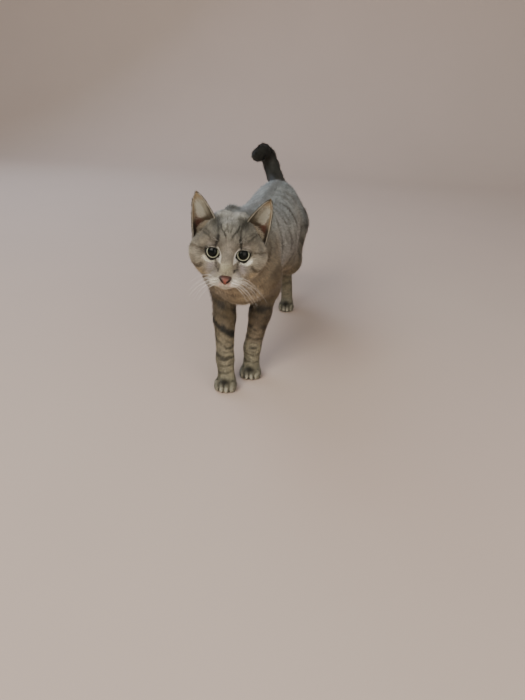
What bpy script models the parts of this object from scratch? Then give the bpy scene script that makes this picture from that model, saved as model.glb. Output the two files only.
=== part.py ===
"""A grey tabby cat, life size, walking with its head up and its tail curled over at the tip.

The whole animal, out to the tips of its coat, is one blended surface around simple masses: round cones along
the bones and ellipsoids for the muscles. Thin cuts then part it into the pieces that a person would name.
The cat faces -Y, its left side is +X, and it stands on the floor at z = 0. Lengths are in metres.
"""

import math
from collections import namedtuple

import bmesh
import bpy
import numpy as np
from mathutils import Matrix, Vector

MM = 0.001
STAND = Vector((-0.002, 0.015, 0.0))  # puts the middle of the cat's box over the origin
CRUMB = 20  # vertices: where two cuts cross, a smaller shell than this can be left, and it is dropped
LEFT, RIGHT = 1, -1
SIDE_NAMES = {LEFT: "left", RIGHT: "right"}

# Driving dimensions
BELLY_HALF_WIDTH = 0.055
CHEST_SHIFT, HIP_SHIFT = -0.006, 0.008  # the spine runs a little from right to left

# The head turns to its left, towards whoever it is looking at, and leans a little
HEAD_CENTRE = Vector((-0.004, -0.262, 0.2195))  # midway between the fronts of the eyes
HEAD_TURN, HEAD_LIFT, HEAD_LEAN = math.radians(10.0), math.radians(4.0), math.radians(4.5)
EYE_SPACING = 38 * MM  # between the fronts of the eyes
EYE_RADIUS = 10.3 * MM
EYE_SPLAY = math.radians(12.0)  # each eye looks this much to its own side
EYE_OPENING = (17.4 * MM, 15.8 * MM)  # width and height between the lids

# Ears, in millimetres in the head's frame, for the left side: the two ends of the root, and the tip
EAR_INNER, EAR_OUTER, EAR_TIP = Vector((17, 28, 32)), Vector((46, 32, 11)), Vector((45.5, 37, 63.5))
EAR_CUP = 13.0  # how deep the cup is at the root
EAR_THICKNESS = 2.0 * MM

# Where each paw stands: across, and the tip of its toes along the body
FRONT_TOES = {LEFT: (0.0125, -0.186), RIGHT: (-0.0165, -0.231)}
HIND_TOES = {LEFT: (0.035, 0.090), RIGHT: (-0.030, 0.158)}
SOLE_SINK = 1.6 * MM  # how far the soft soles are pressed flat by the floor

# Making the surface
VOXEL = 3.4 * MM
PROJECT_STEPS = 5
BODY_TRIANGLES = 5200
CUT = 0.3 * MM  # width of the gap between two neighbouring pieces
EAR_GAP = 0.5 * MM

COATS = {
    "fur": ((0.235, 0.215, 0.190), 0.85),
    "tail": ((0.050, 0.047, 0.045), 0.85),
    "nose": ((0.350, 0.120, 0.085), 0.45),
    "eye": ((0.020, 0.022, 0.020), 0.06),
}  # linear colour and roughness

Bone = namedtuple("Bone", "start end start_radius end_radius blend")
Muscle = namedtuple("Muscle", "frame radii blend")


def head_frame():
    """The head's own frame: origin between the fronts of the eyes, -Y out of the face, +Z through the crown."""
    turn = Matrix.Rotation(HEAD_TURN, 4, "Z")
    lift = Matrix.Rotation(-HEAD_LIFT, 4, "X")
    lean = Matrix.Rotation(HEAD_LEAN, 4, "Y")
    return Matrix.Translation(HEAD_CENTRE) @ turn @ lift @ lean


HEAD = head_frame()


def in_head(x, y, z):
    """A point given in millimetres in the head's frame."""
    return HEAD @ Vector((x * MM, y * MM, z * MM))


def head_muscle(centre, radii, blend):
    """An ellipsoid in the head's frame, in millimetres."""
    return Muscle(HEAD @ Matrix.Translation(Vector(centre) * MM), Vector(radii) * MM, blend * MM)


def muscle(centre, radii, blend, tilt=0.0, turn=0.0):
    """An ellipsoid in the body's frame. Angles in degrees: tilt about X, then turn about Z."""
    spin = Matrix.Rotation(math.radians(turn), 4, "Z") @ Matrix.Rotation(math.radians(tilt), 4, "X")
    return Muscle(Matrix.Translation(Vector(centre)) @ spin, Vector(radii), blend)


def head_masses():
    """Skull, cheeks, muzzle, chin, brows and the crown between the ears."""
    skull = [
        head_muscle((0, 34, 3), (36, 40, 36), 10),
        head_muscle((0, 14, 12), (24, 19.5, 22), 10),
        Bone(in_head(0, 9, 9), in_head(0, -18, -15.5), 12.5 * MM, 6.8 * MM, 9 * MM),
        head_muscle((0, -20, -22), (6.5, 7.5, 6.2), 5),
        head_muscle((0, -8, -33.2), (10.5, 12.5, 8.0), 7),
        head_muscle((0, 16, -23), (24, 26, 16), 12),
    ]
    for side in (LEFT, RIGHT):
        skull += [
            head_muscle((side * 26, 28, -5), (24, 23, 24), 12),
            head_muscle((side * 21.5, 18, -16.5), (17, 20, 15), 10),
            head_muscle((side * 9.4, -13.5, -27), (11.0, 13.0, 9.4), 5),
            head_muscle((side * 20, 14, 11), (12, 8, 8), 8),
            head_muscle((side * 12, 47, 19.5), (17, 27, 24.5), 12),
        ]
    return skull


def neck_and_trunk_masses():
    """Neck, chest, rib cage, belly, loin and rump, from front to back."""
    nape = in_head(0, 44, -4)
    throat = in_head(0, 30, -20)
    neck_root = Vector((-0.004, -0.165, 0.190))
    return [
        Bone(nape, neck_root, 31 * MM, 45 * MM, 22 * MM),
        Bone(throat, Vector((-0.005, -0.166, 0.160)), 25 * MM, 39 * MM, 20 * MM),
        muscle((-0.005, -0.135, 0.178), (0.043, 0.062, 0.064), 0.020),
        muscle((-0.002, -0.070, 0.180), (0.050, 0.085, 0.060), 0.020),
        muscle((0.003, 0.005, 0.176), (BELLY_HALF_WIDTH, 0.085, 0.058), 0.020),
        muscle((0.005, 0.070, 0.188), (0.046, 0.072, 0.055), 0.020),
        muscle((HIP_SHIFT, 0.108, 0.200), (0.039, 0.047, 0.046), 0.018),
    ]


def shoulder_and_foreleg_masses(side):
    """Shoulder blade, upper arm, forearm and paw. The upper end stays with the trunk and the paw where it stands."""
    toe_x, toe_y = FRONT_TOES[side]
    wrist = Vector((toe_x - 0.0035 + side * 0.002, toe_y + 0.037, 0.040))
    knuckle = Vector((toe_x - 0.001, toe_y + 0.026, 0.016))
    reach = (toe_y - FRONT_TOES[LEFT][1]) * 0.35
    elbow = Vector((CHEST_SHIFT + side * 0.031, -0.118 + reach, 0.131))
    shoulder = Vector((CHEST_SHIFT + side * 0.032, -0.158 + reach * 0.4, 0.165))
    return [
        muscle((CHEST_SHIFT + side * 0.027, -0.116, 0.201), (0.017, 0.036, 0.046), 0.018, tilt=-18),
        Bone(shoulder, elbow, 25 * MM, 21 * MM, 14 * MM),
        Bone(elbow, elbow.lerp(wrist, 0.45), 20 * MM, 15.8 * MM, 10 * MM),
        Bone(elbow.lerp(wrist, 0.45), wrist, 15.8 * MM, 12.3 * MM, 8 * MM),
        Bone(wrist, knuckle, 12.3 * MM, 12.2 * MM, 7 * MM),
    ] + paw_masses(toe_x, toe_y, 15.0 * MM)


def hind_joints(side):
    """Hip, knee and hock of one hind leg. The leg that is further back has its knee further back too."""
    toe_x, toe_y = HIND_TOES[side]
    stride = toe_y - HIND_TOES[LEFT][1]
    hip = Vector((HIP_SHIFT + side * 0.025, 0.098, 0.176))
    knee = Vector((HIP_SHIFT + side * 0.030, 0.056 + stride * 0.45, 0.117 - stride * 0.05))
    hock = Vector((toe_x - side * 0.0095, toe_y + 0.066, 0.074 + stride * 0.10))
    return hip, knee, hock


def haunch_and_hindleg_masses(side):
    """Fold of the flank, thigh, shank, hock and paw."""
    toe_x, toe_y = HIND_TOES[side]
    hip, knee, hock = hind_joints(side)
    knuckle = Vector((toe_x, toe_y + 0.027, 0.016))
    return [
        Bone(knee + Vector((-side * 0.004, -0.045, 0.022)), knee, 20 * MM, 19 * MM, 22 * MM),
        Bone(hip, knee, 35 * MM, 19.5 * MM, 18 * MM),
        Bone(hip + Vector((0, 0.022, -0.015)), hock.lerp(knee, 0.45), 28 * MM, 16 * MM, 18 * MM),
        Bone(knee, hock.lerp(knee, 0.35), 20 * MM, 14 * MM, 12 * MM),
        Bone(hock.lerp(knee, 0.35), hock, 14 * MM, 11.3 * MM, 9 * MM),
        Bone(hock, knuckle, 11.0 * MM, 11 * MM, 7 * MM),
    ] + paw_masses(toe_x, toe_y, 13.4 * MM)


def paw_masses(toe_x, toe_y, half_width):
    """A rounded paw: the palm, and four toes in an arc whose tips reach toe_y."""
    floor = -SOLE_SINK
    masses = [muscle((toe_x, toe_y + 0.021, floor + 0.0105), (half_width * 0.92, 0.0165, 0.0115), 0.006)]
    for place in (-1.5, -0.5, 0.5, 1.5):
        outer = abs(place) > 1
        centre = (
            toe_x + place * half_width * 0.52,
            toe_y + (0.0130 if outer else 0.0095),
            floor + 0.0088,
        )
        radii = (half_width * 0.31, 0.0105 if outer else 0.0098, 0.0090)
        masses.append(muscle(centre, radii, 0.0034, turn=-place * 7))
    return masses


def tail_path():
    """Where the tail goes and how thick it is: out behind, rising, then forward over itself and to the right."""
    root = Vector((HIP_SHIFT, 0.122, 0.214))
    steps = (
        ((-0.002, 0.030, 0.004), 16.0),
        ((-0.005, 0.060, 0.003), 15.4),
        ((-0.013, 0.090, 0.007), 15.2),
        ((-0.024, 0.115, 0.019), 15.0),
        ((-0.033, 0.126, 0.038), 14.6),
        ((-0.040, 0.121, 0.057), 14.0),
        ((-0.046, 0.104, 0.067), 13.4),
        ((-0.054, 0.084, 0.062), 12.4),
    )
    points = [(root, 18.0 * MM)]
    points += [(root + Vector(place), radius * MM) for place, radius in steps]
    return points


def tail_masses():
    """The tail as a chain of round cones."""
    path = tail_path()
    return [Bone(a, b, ra, rb, 6 * MM) for (a, ra), (b, rb) in zip(path, path[1:])]


def all_masses():
    """Every mass of the body, in the order in which they are joined."""
    masses = neck_and_trunk_masses() + head_masses() + tail_masses()
    for side in (LEFT, RIGHT):
        masses += shoulder_and_foreleg_masses(side) + haunch_and_hindleg_masses(side)
    return masses


def eye_frame(side):
    """The eyeball's frame: origin at its middle, -Y along the line it looks, which splays to that side."""
    back = Vector((-side * math.sin(EYE_SPLAY), math.cos(EYE_SPLAY), 0)) * EYE_RADIUS
    middle = Vector((side * EYE_SPACING / 2, 0, 0)) + back
    return HEAD @ Matrix.Translation(middle) @ Matrix.Rotation(side * EYE_SPLAY, 4, "Z")


def orbits():
    """The shallow hollows of the face in which the eyes sit."""
    return [
        Muscle(eye_frame(side) @ Matrix.Translation((0, -16 * MM, 0)), Vector((13.5, 10.3, 12)) * MM, 5 * MM)
        for side in (LEFT, RIGHT)
    ]


ORBITS = orbits()


def bone_distance(points, bone):
    """Signed distance from points to a round cone: two spheres and the cone that touches both."""
    start, end = np.array(bone.start), np.array(bone.end)
    axis = end - start
    length2 = axis @ axis
    taper = bone.start_radius - bone.end_radius
    slope2 = length2 - taper * taper
    rel = points - start
    along = rel @ axis
    beyond = along - length2
    off = rel * length2 - along[:, None] * axis
    off2 = (off * off).sum(1)
    along2, beyond2 = along * along * length2, beyond * beyond * length2
    reach = np.sign(taper) * taper * taper * off2
    distance = (np.sqrt(off2 * slope2 / length2) + along * taper) / length2 - bone.start_radius
    past_end = np.sign(beyond) * slope2 * beyond2 > reach
    before_start = np.sign(along) * slope2 * along2 < reach
    distance = np.where(before_start, np.sqrt(off2 + along2) / length2 - bone.start_radius, distance)
    return np.where(past_end, np.sqrt(off2 + beyond2) / length2 - bone.end_radius, distance)


def muscle_distance(points, shape):
    """Distance from points to an ellipsoid, to first order."""
    inverse = np.array(shape.frame.inverted())
    local = points @ inverse[:3, :3].T + inverse[:3, 3]
    radii = np.array(shape.radii)
    scaled = np.linalg.norm(local / radii, axis=1)
    steep = np.linalg.norm(local / radii**2, axis=1)
    return scaled * (scaled - 1.0) / np.maximum(steep, 1e-9)


def body_distance(points, masses):
    """Every mass joined to those before it with a fillet of its own blend width, less the eye sockets' hollows."""
    total = np.full(len(points), 1.0)
    for mass in masses:
        distance = bone_distance if isinstance(mass, Bone) else muscle_distance
        one = distance(points, mass)
        share = np.clip(0.5 + 0.5 * (one - total) / mass.blend, 0.0, 1.0)
        total = one + (total - one) * share - mass.blend * share * (1.0 - share)
    for hollow in ORBITS:
        outside = -muscle_distance(points, hollow)
        share = np.clip(0.5 - 0.5 * (outside - total) / hollow.blend, 0.0, 1.0)
        total = outside + (total - outside) * share + hollow.blend * share * (1.0 - share)
    return total


def slope_of(points, masses, here):
    """Gradient of body_distance, whose value at the points is here, by forward differences."""
    step = 0.1 * MM
    return np.stack([(body_distance(points + axis, masses) - here) / step for axis in np.eye(3) * step], axis=1)


def add_mass(mesh, mass):
    """Adds one mass to a bmesh as a closed hull of its own."""
    if isinstance(mass, Muscle):
        scale = Matrix.Diagonal((*mass.radii, 1.0))
        bmesh.ops.create_uvsphere(mesh, u_segments=24, v_segments=14, radius=1.0, matrix=mass.frame @ scale)
        return
    for place, radius in ((mass.start, mass.start_radius), (mass.end, mass.end_radius)):
        ball = Matrix.Translation(place)
        bmesh.ops.create_uvsphere(mesh, u_segments=20, v_segments=12, radius=radius, matrix=ball)
    axis = mass.end - mass.start
    turn = axis.to_track_quat("Z", "Y").to_matrix().to_4x4()
    bmesh.ops.create_cone(
        mesh,
        cap_ends=True,
        segments=20,
        radius1=mass.start_radius,
        radius2=mass.end_radius,
        depth=axis.length,
        matrix=Matrix.Translation((mass.start + mass.end) / 2) @ turn,
    )


def new_object(name, mesh, coat):
    """A named object with its own material."""
    colour, roughness = COATS[coat]
    obj = bpy.data.objects.new(name, mesh)
    material = bpy.data.materials.new(name + "_" + coat)
    material.use_nodes = True
    shader = material.node_tree.nodes["Principled BSDF"]
    shader.inputs["Base Color"].default_value = (*colour, 1.0)
    shader.inputs["Roughness"].default_value = roughness
    obj.data.materials.clear()
    obj.data.materials.append(material)
    collection("Cat").objects.link(obj)
    return obj


def collection(name):
    """The scene's collection of that name, made if it isn't there yet."""
    found = bpy.data.collections.get(name)
    if found is None:
        found = bpy.data.collections.new(name)
        bpy.context.scene.collection.children.link(found)
    return found


def evaluated_mesh(obj):
    """The object's mesh with its modifiers applied."""
    graph = bpy.context.evaluated_depsgraph_get()
    return bpy.data.meshes.new_from_object(obj.evaluated_get(graph), depsgraph=graph)


def bake_modifiers(obj):
    """Replaces the object's mesh with what its modifiers make of it."""
    bpy.context.view_layer.update()
    made = evaluated_mesh(obj)
    obj.modifiers.clear()
    old = obj.data
    obj.data = made
    bpy.data.meshes.remove(old)
    return obj


def coordinates(mesh):
    """The mesh's vertices as an array of points."""
    found = np.empty(len(mesh.vertices) * 3)
    mesh.vertices.foreach_get("co", found)
    return found.reshape(-1, 3)


def whole_body(masses):
    """The masses fused into one skin of even voxels, then drawn onto the blended surface and thinned out."""
    shapes = bmesh.new()
    for mass in masses:
        add_mass(shapes, mass)
    mesh = bpy.data.meshes.new("body")
    shapes.to_mesh(mesh)
    shapes.free()
    body = new_object("body", mesh, "fur")
    fuse = body.modifiers.new("Fuse", "REMESH")
    fuse.mode = "VOXEL"
    fuse.voxel_size = VOXEL
    bake_modifiers(body)

    points = coordinates(body.data)
    for _ in range(PROJECT_STEPS):
        here = body_distance(points, masses)
        slope = slope_of(points, masses, here)
        steep = np.maximum((slope * slope).sum(1, keepdims=True), 0.05)
        points -= 0.9 * here[:, None] * slope / steep
    body.data.vertices.foreach_set("co", points.ravel())
    body.data.update()

    thin = body.modifiers.new("Thin", "DECIMATE")
    thin.use_collapse_triangulate = True
    thin.ratio = BODY_TRIANGLES / (2.0 * len(body.data.polygons))
    bake_modifiers(body)
    press_soles(body.data)
    return body


def press_soles(mesh):
    """Flattens each sole where it would sink into the floor."""
    points = coordinates(mesh)
    points[:, 2] = np.maximum(points[:, 2], 0.0)
    mesh.vertices.foreach_set("co", points.ravel())
    mesh.update()


def cutter(name, build_shape):
    """A hidden helper made by build_shape(bmesh)."""
    obj = bpy.data.objects.new(name, made(build_shape))
    obj.hide_render = True
    obj.display_type = "WIRE"
    collection("Cutters").objects.link(obj)
    return obj


def slab(name, centre, normal, half_sizes):
    """A thin plate square to normal, for a cut. half_sizes run across and up the plate."""
    turn = Vector(normal).to_track_quat("Z", "Y").to_matrix().to_4x4()
    scale = Matrix.Diagonal((2 * half_sizes[0], 2 * half_sizes[1], CUT, 1.0))
    place = Matrix.Translation(Vector(centre)) @ turn @ scale
    return cutter(name, lambda shape: bmesh.ops.create_cube(shape, size=1.0, matrix=place))


def subtract(obj, other):
    """Takes other away from obj. The exact solver loses the trunk where the two haunch walls run side by side."""
    cut = obj.modifiers.new("Cut", "BOOLEAN")
    cut.operation = "DIFFERENCE"
    cut.solver = "MANIFOLD"
    cut.object = other
    return bake_modifiers(obj)


def ball(shape, frame, radii, segments, rings):
    """Adds an ellipsoid to a bmesh."""
    matrix = frame @ Matrix.Diagonal((*radii, 1.0))
    bmesh.ops.create_uvsphere(shape, u_segments=segments, v_segments=rings, radius=1.0, matrix=matrix)


def made(build_shape):
    """A mesh from a function that fills a bmesh."""
    shape = bmesh.new()
    build_shape(shape)
    mesh = bpy.data.meshes.new("shape")
    shape.to_mesh(mesh)
    shape.free()
    return mesh


def eyeball(side):
    """A plain ball, its poles up and down so that the iris side is even."""
    radii = (EYE_RADIUS,) * 3
    eye = new_object(f"eye_{SIDE_NAMES[side]}", made(lambda shape: ball(shape, eye_frame(side), radii, 16, 10)), "eye")
    eye.data.shade_smooth()
    return eye


def eye_socket(side):
    """The space for an eyeball, and the opening between its lids."""
    socket = (EYE_RADIUS + CUT,) * 3
    opening = (EYE_OPENING[0] / 2, 7 * MM, EYE_OPENING[1] / 2)
    front = eye_frame(side) @ Matrix.Translation((0, -EYE_RADIUS, 0))
    return [
        cutter("socket", lambda shape: ball(shape, eye_frame(side), socket, 16, 10)),
        cutter("opening", lambda shape: ball(shape, front, opening, 16, 10)),
    ]


def ear(side):
    """A cupped triangle with a rounded tip, standing on the head: a bent sheet given its thickness."""
    width, rows = 7, 8

    def sheet(shape):
        grid = []
        for row in range(rows):
            up = -0.25 + 1.25 * (1 - (1 - row / (rows - 1)) ** 1.4)
            half = (max(1 - up, 0.0) ** 0.6) * (1 + 0.25 * up)
            middle = (EAR_INNER + EAR_OUTER) / 2 * (1 - up) + EAR_TIP * up
            across = (EAR_OUTER - EAR_INNER) / 2
            across.z *= 1 - 0.7 * max(up, 0.0)
            cup = EAR_CUP * max(1 - up, 0.0) ** 0.9 + 1.0
            line = []
            for column in range(width):
                place = -1 + 2 * column / (width - 1)
                point = middle + across * place * max(half, 0.03) + Vector((0.25, 0.93, 0.25)) * cup * (1 - place**2)
                line.append(shape.verts.new(in_head(side * point.x, point.y, point.z)))
            grid.append(line)
        for low, high in zip(grid, grid[1:]):
            for a, b, c, d in zip(low, low[1:], high[1:], high):
                shape.faces.new((a, b, c, d) if side == LEFT else (d, c, b, a))

    shell = new_object(f"ear_{SIDE_NAMES[side]}", made(sheet), "fur")
    thick = shell.modifiers.new("Thickness", "SOLIDIFY")
    thick.thickness = EAR_THICKNESS
    thick.offset = 0.0
    return bake_modifiers(shell)


def nose_leather():
    """A small pad over the tip of the muzzle, wide at the top and narrow between the nostrils."""
    def pad(shape):
        ball(shape, Matrix.Identity(4), (8.7, 5.2, 5.8), 12, 8)
        for vert in shape.verts:
            vert.co.x *= 0.80 + 0.045 * vert.co.z
            vert.co.y += 0.10 * vert.co.z
            vert.co = in_head(vert.co.x, vert.co.y - 25.0, vert.co.z - 24.7)

    return new_object("nose", made(pad), "nose")


def grown(obj, distance):
    """A hidden copy of obj, its surface moved out by distance, for cutting its neighbours clear of it."""
    copy = bpy.data.objects.new(obj.name + "_grown", obj.data.copy())
    copy.hide_render = True
    copy.display_type = "WIRE"
    collection("Cutters").objects.link(copy)
    swell = copy.modifiers.new("Swell", "DISPLACE")
    swell.strength = distance
    swell.mid_level = 0.0
    return copy


def body_cuts():
    """The plates that part the body."""
    face = HEAD.to_3x3()
    cuts = [
        slab("cut_nape", in_head(0, 50, -10), face @ Vector((0, 1.0, -0.10)), (0.075, 0.075)),
        slab("cut_neck_root", (0, -0.176, 0.196), (0, -0.93, 0.36), (0.085, 0.085)),
        slab("cut_tail_root", (HIP_SHIFT, 0.154, 0.215), (-0.2, 1.0, 0.05), (0.028, 0.028)),
    ]
    for side in (LEFT, RIGHT):
        name = SIDE_NAMES[side]
        toe_x, toe_y = FRONT_TOES[side]
        top = (CHEST_SHIFT + side * 0.047, toe_y * 0.35 - 0.068, 0.136)
        cuts += [
            slab(f"cut_foreleg_{name}", top, (side * 0.62, 0, -1.0), (0.048, 0.055)),
            slab(f"cut_front_paw_{name}", (toe_x - 0.0027, toe_y + 0.0325, 0.030), (0, -0.25, 1.0), (0.020, 0.022)),
        ]
        toe_x, toe_y = HIND_TOES[side]
        cuts += [
            haunch_wall(side),
            slab(f"cut_hind_paw_{name}", (toe_x, toe_y + 0.036, 0.030), (0, -0.35, 1.0), (0.020, 0.030)),
        ]
    return cuts


def haunch_wall(side):
    """A thin wall round a hind leg, from the fold of the flank over the hip: inside it is leg, outside is trunk."""
    knee = hind_joints(side)[1]
    groin = knee.z - 0.026  # below this the wall's inner side is upright, above it leans out to leave the spine
    front, back, below, top = knee.y - 0.031, 0.265, -0.010, 0.208
    outline = [
        (front, below),
        (front, groin),
        (knee.y - 0.004, knee.z + 0.038),
        (0.100, top),
        (0.150, top),
        (back, groin),
        (back, below),
    ]

    def block(shape):
        near = [
            shape.verts.new((HIP_SHIFT + side * (0.003 + 0.29 * max(z - groin, 0.0)), y, z)) for y, z in outline
        ]
        far = [shape.verts.new((HIP_SHIFT + side * 0.110, y, z)) for y, z in outline]
        for index in range(len(outline)):
            following = (index + 1) % len(outline)
            shape.faces.new((near[index], near[following], far[following], far[index]))
        shape.faces.new(far[::-1])
        shape.faces.new((near[0], near[1], near[5], near[6]))
        shape.faces.new(near[1:6])
        bmesh.ops.recalc_face_normals(shape, faces=shape.faces)

    wall = cutter(f"cut_hindleg_{SIDE_NAMES[side]}", block)
    thin = wall.modifiers.new("Wall", "SOLIDIFY")
    thin.thickness = CUT
    thin.offset = 0.0
    return bake_modifiers(wall)


def piece_seeds():
    """For each piece of the cut body, its coat and a point near its middle."""
    seeds = {
        "head": ("fur", in_head(0, 20, -5)),
        "neck": ("fur", Vector((CHEST_SHIFT, -0.190, 0.195))),
        "trunk": ("fur", Vector((0, -0.010, 0.180))),
        "tail": ("tail", Vector((-0.014, 0.235, 0.240))),
    }
    for side in (LEFT, RIGHT):
        toe_x, toe_y = FRONT_TOES[side]
        seeds[f"foreleg_{SIDE_NAMES[side]}"] = ("fur", Vector((toe_x, toe_y + 0.055, 0.085)))
        seeds[f"front_paw_{SIDE_NAMES[side]}"] = ("fur", Vector((toe_x, toe_y + 0.018, 0.014)))
        toe_x, toe_y = HIND_TOES[side]
        seeds[f"hindleg_{SIDE_NAMES[side]}"] = ("fur", Vector((toe_x, toe_y + 0.045, 0.075)))
        seeds[f"hind_paw_{SIDE_NAMES[side]}"] = ("fur", Vector((toe_x, toe_y + 0.018, 0.014)))
    return seeds


def loose_pieces(mesh):
    """The mesh's separate shells but for crumbs, each as a mesh of its own."""
    whole = bmesh.new()
    whole.from_mesh(mesh)
    waiting = set(whole.verts)
    shells = []
    while waiting:
        shell, front = set(), [next(iter(waiting))]
        while front:
            vert = front.pop()
            if vert in waiting:
                waiting.discard(vert)
                shell.add(vert)
                front += [edge.other_vert(vert) for edge in vert.link_edges]
        if len(shell) > CRUMB:
            shells.append(sorted(vert.index for vert in shell))
    whole.free()
    pieces = []
    for indices in sorted(shells):
        part = bmesh.new()
        part.from_mesh(mesh)
        part.verts.ensure_lookup_table()
        kept = set(indices)
        bmesh.ops.delete(part, geom=[vert for vert in part.verts if vert.index not in kept], context="VERTS")
        piece = bpy.data.meshes.new("piece")
        part.to_mesh(piece)
        part.free()
        pieces.append(piece)
    return pieces


def name_pieces(body):
    """Splits the cut body into its pieces and names each by the nearest seed."""
    seeds = piece_seeds()
    for piece in loose_pieces(body.data):
        middle = Vector(coordinates(piece).mean(axis=0))
        name = min(seeds, key=lambda key: (seeds[key][1] - middle).length)
        coat, _ = seeds.pop(name)
        new_object(name, piece, coat)
    bpy.data.objects.remove(body)


def build():
    """Makes the whole body, cuts it and adds the ears, eyes and nose. Each cut leaves its neighbours a hair apart."""
    body = whole_body(all_masses())
    skin = grown(body, EAR_GAP)
    for side in (LEFT, RIGHT):
        subtract(ear(side), skin)
        eyeball(side)
    subtract(nose_leather(), skin)
    for side in (LEFT, RIGHT):
        for hollow in eye_socket(side):
            subtract(body, hollow)
    for plate in body_cuts():
        subtract(body, plate)
    name_pieces(body)
    for piece in collection("Cat").objects:
        piece.location = STAND


def main():
    """Empties the scene and builds the cat."""
    for obj in list(bpy.data.objects):
        bpy.data.objects.remove(obj)
    build()


main()
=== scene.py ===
"""The looks of a life-size grey tabby cat, walking with its head low and its raised tail curled over.

The solids were cut from one blended surface round simple masses. The same surface is worked out again here, a
coat's depth further in, and that is the skin. Short tufts cover it, and their tips reach the solids' outline.
The cat faces -Y and its left side is +X. Sizes are in millimetres where nothing else is said, in the frame in
which the cat was drawn; new_mesh() turns them to metres and moves them to where the cat stands.
"""

import logging
import math
from collections.abc import Sequence
from dataclasses import dataclass, field
from enum import Enum

import bmesh
import bpy
import numpy as np
from mathutils import Matrix, Vector


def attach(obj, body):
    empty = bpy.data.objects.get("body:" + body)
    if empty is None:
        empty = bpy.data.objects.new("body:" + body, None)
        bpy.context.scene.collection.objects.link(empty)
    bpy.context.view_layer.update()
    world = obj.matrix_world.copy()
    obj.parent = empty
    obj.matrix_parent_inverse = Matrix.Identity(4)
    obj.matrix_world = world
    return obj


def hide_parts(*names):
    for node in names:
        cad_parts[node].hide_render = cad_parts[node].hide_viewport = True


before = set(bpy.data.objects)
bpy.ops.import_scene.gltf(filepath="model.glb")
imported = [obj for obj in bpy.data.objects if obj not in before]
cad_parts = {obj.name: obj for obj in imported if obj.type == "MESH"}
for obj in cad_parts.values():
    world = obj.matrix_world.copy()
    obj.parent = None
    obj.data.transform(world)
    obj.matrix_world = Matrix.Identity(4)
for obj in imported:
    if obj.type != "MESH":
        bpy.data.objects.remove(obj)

Array = np.ndarray
Tree = bpy.types.NodeTree
Socket = bpy.types.NodeSocket
LOG = logging.getLogger("cat")
METRES = 0.001  # in a millimetre
STAND = np.array((-2.0, 15.0, 0.0))  # from the frame in which the cat was drawn to where it stands
BODY = "root"


# ------------------------ plain mathematics


def unit(vectors: Array) -> Array:
    """Scales each row to length one."""
    return vectors / np.maximum(np.linalg.norm(vectors, axis=-1, keepdims=True), 1e-9)


def rise(low: float, high: float, value: Array) -> Array:
    """0 below low, 1 above high, and 3t^2 - 2t^3 between."""
    share = np.clip((value - low) / (high - low), 0.0, 1.0)
    return share * share * (3.0 - 2.0 * share)


def fade(low: float, high: float, value: Array) -> Array:
    """1 below low and 0 above high: what rise() leaves."""
    return 1.0 - rise(low, high, value)


def bump(value: Array, centre: float, width: float) -> Array:
    """A bell of height one: exp(-((value - centre) / width)^2)."""
    return np.exp(-(((value - centre) / width) ** 2))


def grain(points: Array, size: float, seed: int) -> Array:
    """Smooth noise from -1 to 1: a hashed value at each corner of a cubic lattice, joined by cubic steps.

    Args:
        points: places, one a row.
        size: the lattice's spacing.
        seed: which noise.

    Returns:
        One value for each place.
    """
    cell = points / size + seed * 17.31
    low = np.floor(cell)
    share = rise(0.0, 1.0, cell - low)
    low = low.astype(np.int64)
    total = np.zeros(len(points))
    for corner in np.ndindex(2, 2, 2):
        at = low + np.array(corner)
        key = (at[:, 0] * 73856093) ^ (at[:, 1] * 19349663) ^ (at[:, 2] * 83492791) ^ (seed * 2654435761)
        key = ((key ^ (key >> 13)) * 1274126177) & 0xFFFFFFFF
        value = ((key ^ (key >> 16)) & 0xFFFF) / 32767.5 - 1.0
        total += value * np.prod(np.where(corner, share, 1.0 - share), axis=1)
    return total


def line_distance(points: Array, path: tuple) -> Array:
    """The distance from each point to a path of straight pieces, in as many dimensions as both have."""
    nearest = np.full(len(points), np.inf)
    corners = np.array(path)
    for start, end in zip(corners[:-1], corners[1:]):
        along = end - start
        share = np.clip((points - start) @ along / (along @ along), 0.0, 1.0)
        nearest = np.minimum(nearest, np.linalg.norm(points - start - share[:, None] * along, axis=1))
    return nearest


def ball(rows: int, columns: int) -> tuple[Array, Array]:
    """Points on a ball of radius one, in rings from the pole at -Y, and their angles from that pole."""
    around = np.arange(columns) * 2 * math.pi / columns
    polar, around = np.meshgrid(np.linspace(0.0, math.pi, rows), around, indexing="ij")
    points = [np.sin(polar) * np.cos(around), -np.cos(polar), np.sin(polar) * np.sin(around)]
    return np.stack(points, axis=-1).reshape(-1, 3), polar.ravel()


# ------------------------ colour


def srgb(code: str) -> Array:
    """The three sRGB values, 0 to 1, of a colour such as "#a08060"."""
    return np.array([int(code[place : place + 2], 16) for place in (1, 3, 5)]) / 255.0


def linear(colour: Array) -> Array:
    """Turns sRGB values to linear ones."""
    colour = np.clip(colour, 0.0, 1.0)
    return np.where(colour <= 0.04045, colour / 12.92, ((colour + 0.055) / 1.055) ** 2.4)


def paint(under: Array, *layers: tuple[str, Array]) -> Array:
    """Lays colours over others one after another, each by an amount from 0 to 1 for each row."""
    for code, amount in layers:
        under = under + (srgb(code) - under) * np.clip(amount, 0.0, 1.0)[:, None]
    return under


def ramp(value: Array, *stops: tuple[float, str]) -> Array:
    """Colours that run evenly from each stop to the next."""
    places = [place for place, _ in stops]
    shades = np.array([srgb(code) for _, code in stops])
    return np.stack([np.interp(value, places, shades[:, channel]) for channel in range(3)], axis=1)


# ------------------------ frames


class Side(Enum):
    """The cat's own left and right, as signs along X."""

    LEFT = 1
    RIGHT = -1

    @property
    def label(self) -> str:
        """The side's name as node names use it."""
        return self.name.lower()


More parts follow.
